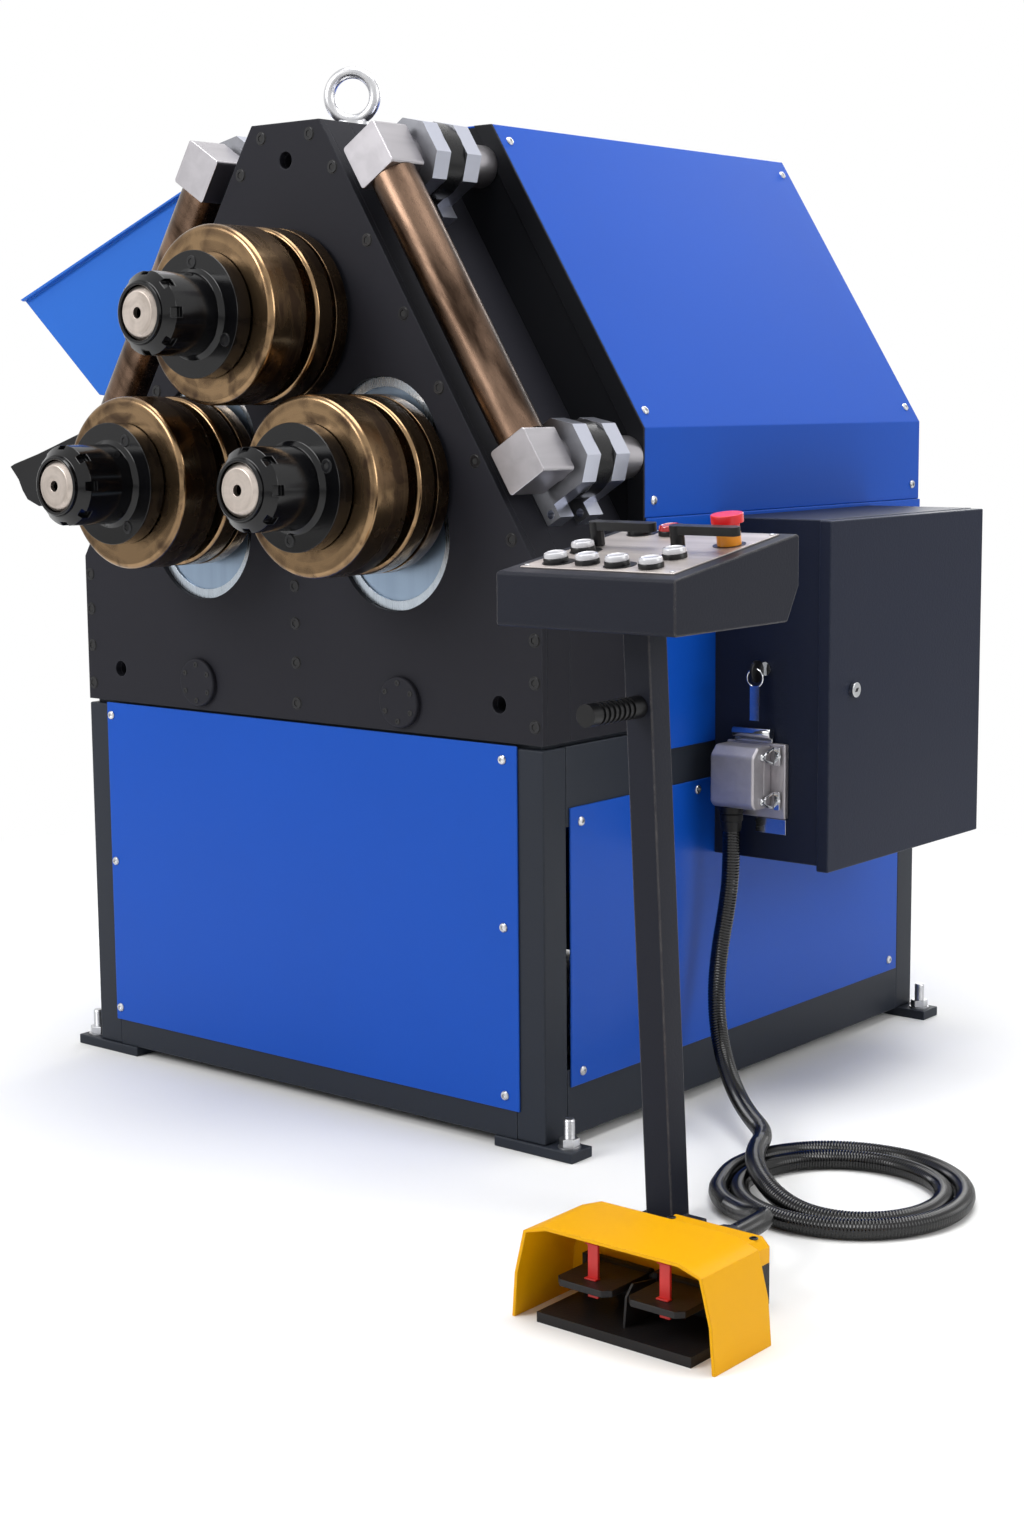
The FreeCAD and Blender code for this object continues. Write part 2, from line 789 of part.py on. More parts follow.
def make_roll_set(name, x, z):
    """One shaft with its nut and its drum, turned about their common axis."""
    bore = d.shaft_radius + d.running_gap
    shaft = Piece(f"{name}_shaft").turn([
        (0, d.centre_hole_depth - d.shaft_front),
        (d.centre_hole_radius, d.centre_hole_depth - d.shaft_front),
        (d.centre_hole_radius, -d.shaft_front),
        (d.shaft_radius - d.shaft_chamfer, -d.shaft_front),
        (d.shaft_radius, d.shaft_chamfer - d.shaft_front),
        (d.shaft_radius, d.shaft_inside),
        (0, d.shaft_inside)])
    node(f"{name}_shaft", shaft.at(x, 0, z))

    nut = Piece(f"{name}_nut").turn([
        (bore, -d.nut_front),
        (d.nut_face_radius, -d.nut_front),
        (d.nut_radius, d.nut_bevel - d.nut_front),
        (d.nut_radius, -d.flange_front - d.flange_root),
        (d.nut_radius + d.flange_root, -d.flange_front),
        (d.flange_radius, -d.flange_front),
        (d.flange_radius, -d.flange_back),
        (bore, -d.flange_back)])
    notch_front = -d.nut_front
    notch_back = d.nut_bevel + d.nut_notch_length - d.nut_front
    half_notch = d.nut_notch_width / 2
    floor = d.nut_radius - d.nut_notch_depth
    outside = d.nut_radius + d.nut_notch_depth
    nut.pocket("XZ", notch_front, notch_back,
               outlines=[[(-half_notch, floor), (half_notch, floor),
                          (half_notch, outside), (-half_notch, outside)]])
    nut.repeat_around(NUT_NOTCHES)
    node(f"{name}_nut", nut.at(x, 0, z))

    drum = Piece(f"{name}_drum").turn([
        (bore, -d.flange_back),
        (d.spacer_hub_radius, -d.flange_back),
        (d.spacer_hub_radius, -d.drum_front),
        (d.drum_radius, -d.drum_front),
        (d.drum_radius, -d.drum_back),
        (d.spacer_radius, -d.drum_back),
        (d.spacer_radius, -d.disc_front - d.seat_gap),
        (bore, -d.disc_front - d.seat_gap)])
    drum.round_edges(circle_edge(d.drum_radius, -d.drum_front), d.drum_rounding)
    discs = Piece(f"{name}_discs").turn([
        (bore, -d.disc_front),
        (d.drum_radius, -d.disc_front),
        (d.drum_radius, -d.disc_split_front),
        (d.disc_split_radius, -d.disc_split_front),
        (d.disc_split_radius, -d.disc_split_back),
        (d.drum_radius, -d.disc_split_back),
        (d.drum_radius, -d.disc_back),
        (d.disc_hub_radius, -d.disc_back),
        (d.disc_hub_radius, -d.disc_hub_back),
        (bore, -d.disc_hub_back)])
    discs.round_edges(circle_edge(d.drum_radius, -d.disc_front), d.disc_rounding)
    node(f"{name}_rolls", drum.at(x, 0, z), discs.at(x, 0, z))


def incline_block(side, up, half_up, out_low, out_high, front, back, name):
    """A square piece set square to the incline."""
    corners = [on_incline(up - half_up, out_low), on_incline(up + half_up, out_low),
               on_incline(up + half_up, out_high), on_incline(up - half_up, out_high)]
    return Piece(name).pad("XZ", front, back, outlines=[on_side(corners, side)])


def make_guides():
    half_block = d.block_side / 2
    blocks, bars, shafts, clamps, bands = [], [], [], [], []
    for side in (-1, 1):
        for up in (d.lower_guide_up, d.upper_guide_up):
            piece = incline_block(side, up, half_block, d.guide_out - half_block, d.guide_out + half_block,
                                  -d.block_front, d.block_back, "guide_block")
            piece.round_edges(lambda edge: edge.BoundBox.YLength > d.block_side.number / 2, d.block_rounding)
            blocks.append(piece.at())
            x, z = on_incline(up, d.guide_out)
            shafts.append(bar_along_y(side * x, z, d.guide_shaft_radius, d.block_back,
                                      d.head_depth - d.sheet_thickness))
            for front, back in ((d.first_clamp_front, d.first_clamp_back),
                                (d.second_clamp_front, d.second_clamp_back)):
                clamps.append(make_clamp(side, up, front, back))
            bore = d.guide_shaft_radius + d.running_gap
            bands.append(plate("guide_band", d.first_clamp_back, d.second_clamp_front,
                               circles=[(side * x, z, d.band_radius), (side * x, z, bore)]))
        bars.append(make_guide_bar(side, half_block))
    node("guide_blocks", *blocks)
    node("guide_bars", *bars)
    node("guide_shafts", *shafts)
    node("guide_clamps", *clamps)
    node("guide_bands", *bands)
    x_high, z_high = on_incline(d.lower_guide_up + d.horn_root_up, d.guide_out + half_block)
    x_low, z_low = on_incline(d.lower_guide_up - d.horn_root_down, d.guide_out + half_block)
    horn = [(x_high, z_high), *HORN_EDGE, (x_low, z_low)]
    node("guide_horn", plate("guide_horn", -d.horn_front, d.horn_back, outlines=[on_side(horn, -1)]))


def make_clamp(side, up, front, back):
    """A split octagonal clamp that stands on the incline and holds a guide shaft."""
    half = [(d.clamp_foot_half, as_size(0)), (d.clamp_foot_half, d.clamp_foot_thickness),
            (d.clamp_half, d.clamp_foot_thickness), (d.clamp_half, d.guide_out + d.clamp_bevel_out),
            (d.clamp_top_half, d.guide_out + d.clamp_top_out)]
    outline = [on_incline(up + along, out) for along, out in mirrored_along(half)]
    x, z = on_incline(up, d.guide_out)
    circles = [(side * x, z, d.guide_shaft_radius + d.running_gap)]
    for along in (-d.clamp_hole_spread, d.clamp_hole_spread):
        hole_x, hole_z = on_incline(up + along, d.clamp_foot_thickness / 2)
        circles.append((side * hole_x, hole_z, d.clamp_hole_radius))
    return plate("guide_clamp", front, back, outlines=[on_side(outline, side)], circles=circles)


def mirrored_along(points):
    return points + [(-along, out) for along, out in reversed(points)]


def make_guide_bar(side, half_block):
    bar = doc.addObject("Part::Cylinder", "guide_bar")
    bind(bar, "Radius", d.guide_bar_radius)
    bind(bar, "Height", d.upper_guide_up - d.lower_guide_up - 2 * half_block)
    x, z = on_incline(d.lower_guide_up + half_block, d.guide_out)
    return place(bar, side * x, d.guide_bar_depth, z, (0, 1, 0), side * (d.incline_angle - 90))


def make_housing():
    half, sheet_gap = d.base_half_width, d.sheet_thickness
    inner, top = half - sheet_gap, d.housing_top
    inner_out, inner_top = d.housing_out - sheet_gap, top - sheet_gap
    wall = mirrored([(half, head_bottom), (half, d.cover_split), (inner, d.cover_split),
                     (inner, fold_level(inner, inner_out)),
                     (half_width_at(inner_top, inner_out), inner_top)])
    front_wall = Piece("front_wall").pad("XZ", d.head_depth, d.head_depth + d.wall_thickness,
                                         outlines=[wall])
    rim_inner, rim_out = half - d.rim_width, d.housing_out - d.rim_width
    rim = [(half, d.rim_start), (half, fold_level(half, d.housing_out)),
           (half_width_at(top, d.housing_out), top), (half_width_at(top, rim_out), top),
           (rim_inner, fold_level(rim_inner, rim_out)), (rim_inner, d.rim_start)]
    front_wall.pad("XZ", d.head_depth - sheet_gap, d.head_depth,
                   outlines=[on_side(rim, 1), on_side(rim, -1)])
    rear_wall = plate("rear_wall", d.base_depth - d.wall_thickness, d.base_depth, outlines=[wall])
    node("housing_walls", front_wall.at(), rear_wall)
    cover = [(half, d.cover_split), (half, fold_level(half, d.housing_out)),
             (half_width_at(top, d.housing_out), top), (half_width_at(top, inner_out), top),
             (inner, fold_level(inner, inner_out)), (inner, d.cover_split)]
    node("side_covers", *[plate("side_cover", d.head_depth, d.base_depth, outlines=[on_side(cover, side)])
                          for side in (-1, 1)])
    top_sheet = mirrored([(half_width_at(inner_top, inner_out), inner_top),
                          (half_width_at(top, inner_out), top)])
    node("top_cover", plate("top_cover", d.head_depth, d.base_depth, outlines=[top_sheet]))
    lower = [block(x, (d.head_depth, d.base_depth), (d.lower_cover_bottom, d.cover_split))
             for x in ((-half - sheet_gap, -half), (half, half + sheet_gap))]
    node("lower_side_covers", *lower)
    low_x, low_z = on_incline(d.guard_lower_up, d.guard_inner_out)
    high_x, high_z = on_incline(d.guard_upper_up, d.guard_inner_out)
    tip = (d.guard_reach, d.guard_tip_level)
    crest = (d.guard_crest_x, d.guard_crest_level)
    sheet_outline = [(low_x, low_z), (high_x, high_z), GUARD_SHOULDER, crest, tip, GUARD_HEEL]
    rim_front = d.head_depth - sheet_gap
    guard = Piece("guard_sheet").pad("XZ", rim_front - sheet_gap, rim_front,
                                     outlines=[on_side(sheet_outline, -1)])
    lip = [tip, crest, (crest[0], crest[1] - 1.2 * sheet_gap), (tip[0] - 2 * sheet_gap, tip[1] - sheet_gap)]
    guard.pad("XZ", rim_front - sheet_gap - d.guard_lip, rim_front - sheet_gap,
              outlines=[on_side(lip, -1)])
    node("guard_sheet", guard.at())


def make_cabinet():
    left = d.base_half_width + d.sheet_thickness
    right = left + d.cabinet_width
    wall = d.cabinet_wall
    outer = block((left, right), (d.cabinet_front, d.cabinet_back), (d.cabinet_bottom, d.cabinet_top))
    inside = block((left + wall, right + wall), (d.cabinet_front + wall, d.cabinet_back - wall),
                   (d.cabinet_bottom + wall, d.cabinet_top - wall))
    node("cabinet_box", cut("cabinet_box", outer, inside))
    door_left = right + d.door_gap
    door_right = door_left + d.door_thickness
    door_front = d.cabinet_front - d.door_overlap
    sheet_gap = d.door_sheet
    door = block((door_left, door_right), (door_front, d.cabinet_back), (d.door_bottom, d.door_top))
    pan = block((door_left - sheet_gap, door_right - sheet_gap),
                (door_front + sheet_gap, d.cabinet_back - sheet_gap),
                (d.door_bottom + sheet_gap, d.door_top - sheet_gap))
    node("cabinet_door", cut("cabinet_door", door, pan))
    lock = doc.addObject("Part::Cylinder", "door_lock")
    bind(lock, "Radius", d.lock_radius)
    bind(lock, "Height", d.lock_height)
    node("door_lock", place(lock, door_right, d.lock_y, d.lock_z, (0, 1, 0), as_size(90)))
    make_key()
    make_connector()


def make_key():
    """A key in its lock, with a ring and a second key hanging from it."""
    front = d.cabinet_front
    barrel_front = front - d.key_barrel_length
    barrel = bar_along_y(d.key_x, d.key_z, d.key_barrel_radius, barrel_front, front)
    bow = block((d.key_x - d.key_half_thickness, d.key_x + d.key_half_thickness),
                (front - d.key_reach, barrel_front), (d.key_z - d.key_half_width, d.key_z + d.key_half_width))
    ring = doc.addObject("Part::Torus", "key_ring")
    bind(ring, "Radius1", d.key_ring_radius)
    bind(ring, "Radius2", d.key_ring_wire)
    ring_y = front - d.key_ring_reach
    place(ring, d.key_x, ring_y, d.key_z - d.key_half_width, (1, 0, 0), as_size(90))
    tag_top = d.key_z - d.key_tag_drop
    tag = block((d.key_x - d.key_tag_half_width, d.key_x + d.key_tag_half_width),
                (ring_y - d.key_half_thickness, ring_y + d.key_half_thickness),
                (tag_top - d.key_tag_length, tag_top))
    node("cabinet_key", fuse("cabinet_key", barrel, bow, ring, tag))


def make_connector():
    """A heavy connector on the cabinet's front, with the hose outlet under it."""
    front = d.cabinet_front
    plate_front = front - d.connector_plate
    base = block((d.connector_left, d.connector_right), (plate_front, front),
                 (d.connector_bottom, d.connector_top))
    node("connector_plate", base)
    hood = Piece("connector_hood").pad(
        "YZ", d.hood_left, d.hood_right,
        outlines=[[(plate_front, d.hood_bottom), (d.hood_front + d.hood_lower_bevel, d.hood_bottom),
                   (d.hood_front, d.hood_bottom + d.hood_lower_bevel),
                   (d.hood_front, d.hood_top - d.hood_upper_bevel),
                   (d.hood_front + d.hood_upper_bevel, d.hood_top), (plate_front, d.hood_top)]])
    node("connector_hood", hood.at())


def on_slope(y, lift):
    """A point of the console's sloping top, lifted square to it."""
    tilt_sin, tilt_cos = sine(d.console_tilt), cosine(d.console_tilt)
    back = as_size(y) + d.console_front
    return (as_size(y) - lift * tilt_sin,
            d.console_front_top + back * tilt_sin / tilt_cos + lift * tilt_cos)


def make_console():
    front = -d.console_front
    back = front + d.console_depth
    _, back_top = on_slope(back, 0)
    box = Piece("console_box").pad(
        "YZ", d.console_left, d.console_right,
        outlines=[[(front, d.console_bottom), (front, d.console_front_top), (back, back_top),
                   (back, d.console_back_bottom), (back - d.console_bevel, d.console_bottom)]])
    box.round_edges(lambda edge: edge.BoundBox.XLength > 100, d.console_rounding)
    node("console_box", box.at())
    plate_front = front + d.plate_margin_front
    plate_back = back - d.plate_margin_back
    panel = Piece("console_panel").pad(
        "YZ", d.console_left + d.plate_margin_side, d.console_right - d.plate_margin_side,
        outlines=[[on_slope(plate_front, 0), on_slope(plate_back, 0),
                   on_slope(plate_back, d.plate_thickness), on_slope(plate_front, d.plate_thickness)]])
    node("console_panel", panel.at())
    make_buttons()
    make_selectors()
    make_stop()
    make_stand()


def stand_on_slope(piece, x, y, lift):
    """Places a piece with its own Z axis square to the console's slope."""
    place_y, place_z = on_slope(y, d.plate_thickness + lift)
    return place(piece, x, place_y, place_z, (1, 0, 0), d.console_tilt)


def make_buttons():
    buttons = []
    for x, y in BUTTON_PLACES:
        button = Piece("push_button")
        button.pad("XY", 0, d.button_neck_height, circles=[(0, 0, d.button_neck_radius)])
        button.pad("XY", d.button_neck_height, d.button_height, circles=[(0, 0, d.button_radius)])
        buttons.append(stand_on_slope(button.body, x, y, 0))
    node("push_buttons", *buttons)


def make_selectors():
    """Two long selector handles that reach over the buttons beside them."""
    for name, (x, y) in SELECTOR_PLACES.items():
        handle = Piece(f"{name}_selector")
        handle.pad("XY", d.seat_gap, d.lever_under + d.lever_thickness, circles=[(0, 0, d.lever_radius)])
        handle.pad("XY", d.lever_under, d.lever_under + d.lever_thickness,
                   slots=[((0, 0), (d.lever_length, 0), d.lever_tip_radius)])
        node(f"{name}_selector", stand_on_slope(handle.body, x, y, 0))


def make_stop():
    collar = Piece("stop_collar").pad("XY", 0, d.stop_collar_height,
                                      circles=[(0, 0, d.stop_collar_radius),
                                               (0, 0, d.stop_stem_radius + d.running_gap)])
    node("stop_collar", stand_on_slope(collar.body, d.stop_x, d.stop_y, 0))
    skirt_start = d.stop_collar_height + d.stop_travel + d.seat_gap
    head_start = skirt_start + d.stop_skirt_height
    head = Piece("stop_button")
    head.pad("XY", d.stop_travel + d.seat_gap, skirt_start, circles=[(0, 0, d.stop_stem_radius)])
    head.pad("XY", skirt_start, head_start, circles=[(0, 0, d.stop_skirt_radius)])
    head.pad("XY", head_start, head_start + d.stop_head_height, circles=[(0, 0, d.stop_head_radius)])
    node("stop_button", stand_on_slope(head.body, d.stop_x, d.stop_y, 0))


def make_stand():
    half = d.stand_width / 2
    plate_top = d.stand_plate_thickness
    front, back = -d.stand_front, d.stand_depth - d.stand_front
    top_x = d.stand_foot_x - d.stand_lean
    stand = Piece("console_stand").pad("XY", 0, plate_top, outlines=[[
        (d.stand_plate_left, -d.stand_plate_front), (d.stand_plate_right, -d.stand_plate_front),
        (d.stand_plate_right, -d.stand_plate_back), (d.stand_plate_left, -d.stand_plate_back)]])
    stand.pad("XZ", front, back, outlines=[[
        (d.stand_foot_x - half, plate_top), (d.stand_foot_x + half, plate_top),
        (top_x + half, d.console_bottom), (top_x - half, d.console_bottom)]])
    node("console_stand", stand.at())
    grip_x = d.stand_foot_x - d.stand_lean * d.grip_level / d.console_bottom
    outline = [(0, -d.grip_length), (d.grip_radius, -d.grip_length),
               (d.grip_radius, d.grip_cap - d.grip_length)]
    groove = d.grip_pitch / 2
    for number in range(GRIP_RIBS):
        start = d.grip_cap + number * d.grip_pitch - d.grip_length
        outline += [(d.grip_groove_radius, start), (d.grip_groove_radius, start + groove),
                    (d.grip_radius, start + groove), (d.grip_radius, start + d.grip_pitch)]
    outline += [(d.grip_radius, 0), (0, 0)]
    grip = Piece("handle_grip").turn(outline)
    node("handle_grip", grip.at(grip_x, front, d.grip_level))


def make_foot_switch():
    centre = d.pedal_centre
    front = -d.pedal_front
    back = front + d.hood_depth

    def hood_profile(inset):
        return [(centre - side * (half - inset), level - drop)
                for side, levels in ((1, hood_levels(inset)), (-1, reversed(hood_levels(inset))))
                for half, level, drop in levels]

    def hood_levels(inset):
        return [(d.hood_foot_half, as_size(0), as_size(0)),
                (d.hood_fold_half, d.hood_fold_level, as_size(0)),
                (d.hood_knee_half, d.hood_knee_level, inset / 2),
                (d.hood_roof_half, d.hood_roof_level, inset)]

    hood = Piece("pedal_hood").pad("XZ", front, back, outlines=[hood_profile(as_size(0))])
    hood.pocket("XZ", front, back - d.hood_sheet, outlines=[hood_profile(d.hood_sheet)])
    opening_half = d.switch_box_half + d.seat_gap
    hood.pocket("XZ", back - d.hood_sheet, back, outlines=[[
        (centre - opening_half, -1), (centre + opening_half, -1),
        (centre + opening_half, d.switch_box_seam), (centre - opening_half, d.switch_box_seam)]])
    cover = [(side * half + centre, level) for side in (1, -1) for half, level in (
        (d.switch_box_half, d.switch_box_seam), (d.switch_box_half, d.switch_box_top - d.switch_box_bevel),
        (d.switch_box_half - d.switch_box_bevel, d.switch_box_top))[::side]]
    hood.pad("XZ", back, -d.switch_box_back, outlines=[cover])
    node("pedal_hood", hood.at())

    base = Piece("pedal_base").pad("XY", 0, d.tread_base_height, outlines=[[
        (centre - d.tread_base_half, -d.tread_base_front), (centre + d.tread_base_half, -d.tread_base_front),
        (centre + d.tread_base_half, back - d.hood_sheet - d.seat_gap),
        (centre + d.switch_box_half, back - d.hood_sheet - d.seat_gap),
        (centre + d.switch_box_half, -d.switch_box_back), (centre - d.switch_box_half, -d.switch_box_back),
        (centre - d.switch_box_half, back - d.hood_sheet - d.seat_gap),
        (centre - d.tread_base_half, back - d.hood_sheet - d.seat_gap)]])
    base.pad("XY", d.tread_base_height, d.switch_box_seam, outlines=[[
        (centre - d.switch_box_half, back - d.hood_sheet - d.seat_gap),
        (centre + d.switch_box_half, back - d.hood_sheet - d.seat_gap),
        (centre + d.switch_box_half, -d.switch_box_back), (centre - d.switch_box_half, -d.switch_box_back)]])
    lug_half = 2 * d.pivot_radius
    lug = [(-d.pivot_back - lug_half, d.tread_base_height), (-d.pivot_back + lug_half, d.tread_base_height),
           (-d.pivot_back + lug_half, d.pivot_level + d.pivot_radius * 2),
           (-d.pivot_back - lug_half, d.pivot_level + d.pivot_radius * 2)]
    fin_half = d.fin_half_thickness
    lug_spread = d.tread_base_half - d.lug_inset
    for x in (centre - lug_spread, centre, centre + lug_spread):
        base.pad("YZ", x - 2 * fin_half, x + 2 * fin_half, outlines=[lug])
    base.pad("YZ", centre - lug_spread, centre + lug_spread,
             circles=[(-d.pivot_back, d.pivot_level, d.pivot_radius)])
    base.pad("YZ", centre - fin_half, centre + fin_half, outlines=[[
        (d.fin_foot_inset - d.tread_base_front, d.tread_base_height), (-d.pivot_back, d.tread_base_height),
        (-d.pivot_back, d.pivot_level),
        (d.fin_tip_inset - d.tread_base_front, d.pivot_level + d.fin_tip_rise),
        (d.fin_nose_inset - d.tread_base_front, d.pivot_level - d.fin_nose_drop)]])
    node("pedal_base", base.at())
    for side, name in ((-1, "left"), (1, "right")):
        make_pedal(name, centre + side * d.pedal_offset)
    gland = bar_along_y(centre, d.pedal_gland_level, d.pedal_gland_radius,
                        -d.switch_box_back, d.pedal_gland_length - d.switch_box_back)
    outlet = doc.addObject("Part::Cylinder", "outlet_gland")
    bind(outlet, "Radius", d.gland_radius)
    bind(outlet, "Height", d.gland_length)
    place(outlet, d.outlet_x, d.outlet_y, d.hood_bottom - d.gland_length)
    node("hose_glands", gland, outlet)


def make_pedal(name, x):
    """A foot plate on a pin, with the red flag that stands through it."""
    half = d.pedal_half
    level = d.pivot_level
    top = level + d.pedal_thickness / 2
    under = level - d.pedal_thickness / 2
    pedal = Piece(f"{name}_pedal").pad("YZ", x - half, x + half,
                                       circles=[(-d.pivot_back, level, d.pedal_eye_radius)])
    pedal.pad("XY", under, top, outlines=[[
        (x - half, -d.pivot_back), (x + half, -d.pivot_back), (x + half, d.pedal_bevel - d.pedal_tip),
        (x + half - d.pedal_bevel, -d.pedal_tip), (x - half + d.pedal_bevel, -d.pedal_tip),
        (x - half, d.pedal_bevel - d.pedal_tip)]])
    pedal.pocket("YZ", x - half, x + half,
                 circles=[(-d.pivot_back, level, d.pivot_radius + d.running_gap)])
    node(f"{name}_pedal", pedal.at())
    flag_x = (x - d.flag_half_width, x + d.flag_half_width)
    flag_y = (-d.flag_y, d.flag_thickness - d.flag_y)
    node(f"{name}_flag", block(flag_x, flag_y, (top, top + d.flag_height)),
         block(flag_x, flag_y, (under - d.lower_flag_height, under)))


def hose_path(points):
    """Straight runs joined by tangent arcs as large as the runs allow."""
    shift = FreeCAD.Vector(machine_x.number, machine_y.number, 0)
    points = [FreeCAD.Vector(*point) + shift for point in points]
    edges, radii = [], []
    start = points[0]
    for before, corner, after in zip(points, points[1:], points[2:]):
        incoming, outgoing = corner - before, after - corner
        half_turn = incoming.getAngle(outgoing) / 2
        reach = 0.45 * min(incoming.Length, outgoing.Length)
        radii.append(reach / math.tan(half_turn))
        towards, onwards = FreeCAD.Vector(incoming).normalize(), FreeCAD.Vector(outgoing).normalize()
        first, last = corner - towards * reach, corner + onwards * reach
        inward = (onwards - towards).normalize()
        middle = corner + inward * (radii[-1] / math.cos(half_turn) - radii[-1])
        edges.append(Part.LineSegment(start, first).toShape())
        edges.append(Part.Arc(first, middle, last).toShape())
        start = last
    edges.append(Part.LineSegment(start, points[-1]).toShape())
    print("hose radii", [round(radius) for radius in radii])
    return Part.Wire(edges)


def hose_tube(points):
    wire = hose_path(points)
    start = wire.Edges[0].Vertexes[0].Point
    heading = wire.Edges[0].tangentAt(wire.Edges[0].FirstParameter)
    section = Part.Wire([Part.makeCircle(d.hose_radius.number, start, heading)])
    tube = wire.makePipeShell([section], True, False)
    expected = math.pi * d.hose_radius.number ** 2 * wire.Length
    print("hose length", round(wire.Length, 1), "volume ratio", round(tube.Volume / expected, 4))
    piece = doc.addObject("Part::Feature", "hose")
    piece.Shape = tube
    return piece


def make_hose():
    node("hose_tube", hose_tube(HOSE_DROP), hose_tube(HOSE_TAIL))
    coil = Piece("hose_coil").pad("XY", 0, d.coil_height,
                                  circles=[(d.coil_x, d.coil_y, d.coil_radius),
                                           (d.coil_x, d.coil_y, d.coil_hole_radius)])
    node("hose_coil", coil.at())


make_base()
make_head()
make_slides()
make_roll_set("upper", 0, d.upper_roll_level)
make_roll_set("left", -d.lower_roll_spread, d.lower_roll_level)
make_roll_set("right", d.lower_roll_spread, d.lower_roll_level)
make_guides()
make_housing()
make_cabinet()
make_console()
make_foot_switch()
make_hose()
doc.recompute()

for thing in doc.Objects:
    if "Invalid" in thing.State or "Error" in thing.State:
        raise RuntimeError(f"{thing.Name} ({thing.Label}) did not build: {thing.State}")

os.makedirs("parts", exist_ok=True)
whole = FreeCAD.BoundBox()
for name, part in sub_parts.items():
    shape = part.Shape
    if shape.isNull() or not shape.isValid() or not shape.Solids:
        raise RuntimeError(f"{name} has no valid shape")
    shape.exportStep(f"parts/{name}.step")
    if not name.startswith("hose"):
        whole.add(shape.BoundBox)
print(len(sub_parts), "sub-parts, box", [round(value, 1) for value in (
    whole.XMin, whole.YMin, whole.ZMin, whole.XMax, whole.YMax, whole.ZMax)])
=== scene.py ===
# %% [markdown]
# An angle roll bender in its real finishes
#
# Three rolls on level shafts bend steel sections into rings. The construction is already fixed:
# every plate, roll, shaft and cover arrives as a named node at its real size. This lesson gives
# each of them the surface that it has on the real machine, and adds what is too small for the
# construction model: screws, caps, latches, the ribbed hose and the lenses of the push buttons.

# %% Load the fixed frame
import math

import bpy
import numpy as np
from mathutils import Matrix, Vector


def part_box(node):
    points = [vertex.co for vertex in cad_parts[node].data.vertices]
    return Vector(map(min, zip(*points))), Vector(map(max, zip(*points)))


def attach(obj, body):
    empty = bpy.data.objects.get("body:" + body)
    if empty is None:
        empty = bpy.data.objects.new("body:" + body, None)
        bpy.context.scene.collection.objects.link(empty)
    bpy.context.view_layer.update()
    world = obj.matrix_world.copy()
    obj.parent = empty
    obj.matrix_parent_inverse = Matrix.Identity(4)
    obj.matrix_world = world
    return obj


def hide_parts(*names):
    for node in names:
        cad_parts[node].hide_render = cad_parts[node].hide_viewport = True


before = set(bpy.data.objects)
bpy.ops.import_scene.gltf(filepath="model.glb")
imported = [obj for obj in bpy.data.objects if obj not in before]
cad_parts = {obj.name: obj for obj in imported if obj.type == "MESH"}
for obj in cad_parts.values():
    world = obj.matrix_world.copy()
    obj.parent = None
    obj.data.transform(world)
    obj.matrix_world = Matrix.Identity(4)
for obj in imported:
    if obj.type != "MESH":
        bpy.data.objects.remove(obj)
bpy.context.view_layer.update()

# %% [markdown]
# One way to say where things are
#
# The machine was drawn in millimetres, counted from the middle of the head's front face at floor
# level. Keeping that habit means that a screw's place can be read off a drawing. One function
# turns such a place into the frame's metres, and it finds the head in the frame by itself.

# %% Places in millimetres
MM = 0.001
head_low, head_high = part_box("head_front_plate")
HEAD_MIDDLE = (head_low.x + head_high.x) / 2
HEAD_FACE = head_low.y
TO_FRONT = Vector((0, -1, 0))
TO_BACK = Vector((0, 1, 0))
TO_RIGHT = Vector((1, 0, 0))
TO_LEFT = Vector((-1, 0, 0))
UP = Vector((0, 0, 1))


def at(x, y, z):
    """A place in millimetres from the middle of the head's front face, at floor level."""
    return Vector((HEAD_MIDDLE + x * MM, HEAD_FACE + y * MM, z * MM))


print("head face at", [round(v, 3) for v in at(0, 0, 0)])

# %% [markdown]
# The camera
#
# The picture was taken from a little below the machine's top, off its front right corner, with a
# slightly long lens. The angles below are those of that view. A photograph's middle and the point
# where the lens looks straight ahead differ a little, and the shift makes up for exactly that.

# %% Camera
PICTURE_HEIGHT = 1536
SENSOR = 36.0
FOCAL_PIXELS = 2362.1
STRAIGHT_AHEAD_ROW = 744.5
TURN_LEFT = math.radians(39.39)
LOOK_DOWN = math.radians(8.23)
LEAN = math.radians(-0.49)
CAMERA_PLACE = (2394.4, -2426.5, 1017.9)

ahead = Vector((-math.sin(TURN_LEFT) * math.cos(LOOK_DOWN),
                math.cos(TURN_LEFT) * math.cos(LOOK_DOWN),
                -math.sin(LOOK_DOWN)))
level = Vector((math.cos(TURN_LEFT), math.sin(TURN_LEFT), 0))
over = level.cross(ahead)
camera_right = level * math.cos(LEAN) + over * math.sin(LEAN)
camera_up = over * math.cos(LEAN) - level * math.sin(LEAN)

lens = bpy.data.cameras.new("photo_camera")
lens.sensor_width = SENSOR
lens.lens = FOCAL_PIXELS / PICTURE_HEIGHT * SENSOR
lens.shift_y = (STRAIGHT_AHEAD_ROW - PICTURE_HEIGHT / 2) / PICTURE_HEIGHT
camera = bpy.data.objects.new("photo_camera", lens)
bpy.context.scene.collection.objects.link(camera)
turned = Matrix((camera_right, camera_up, -ahead)).transposed().to_4x4()
camera.matrix_world = Matrix.Translation(at(*CAMERA_PLACE)) @ turned
bpy.context.scene.camera = camera
print(f"lens {lens.lens:.1f} mm, shift {lens.shift_y:.4f}")

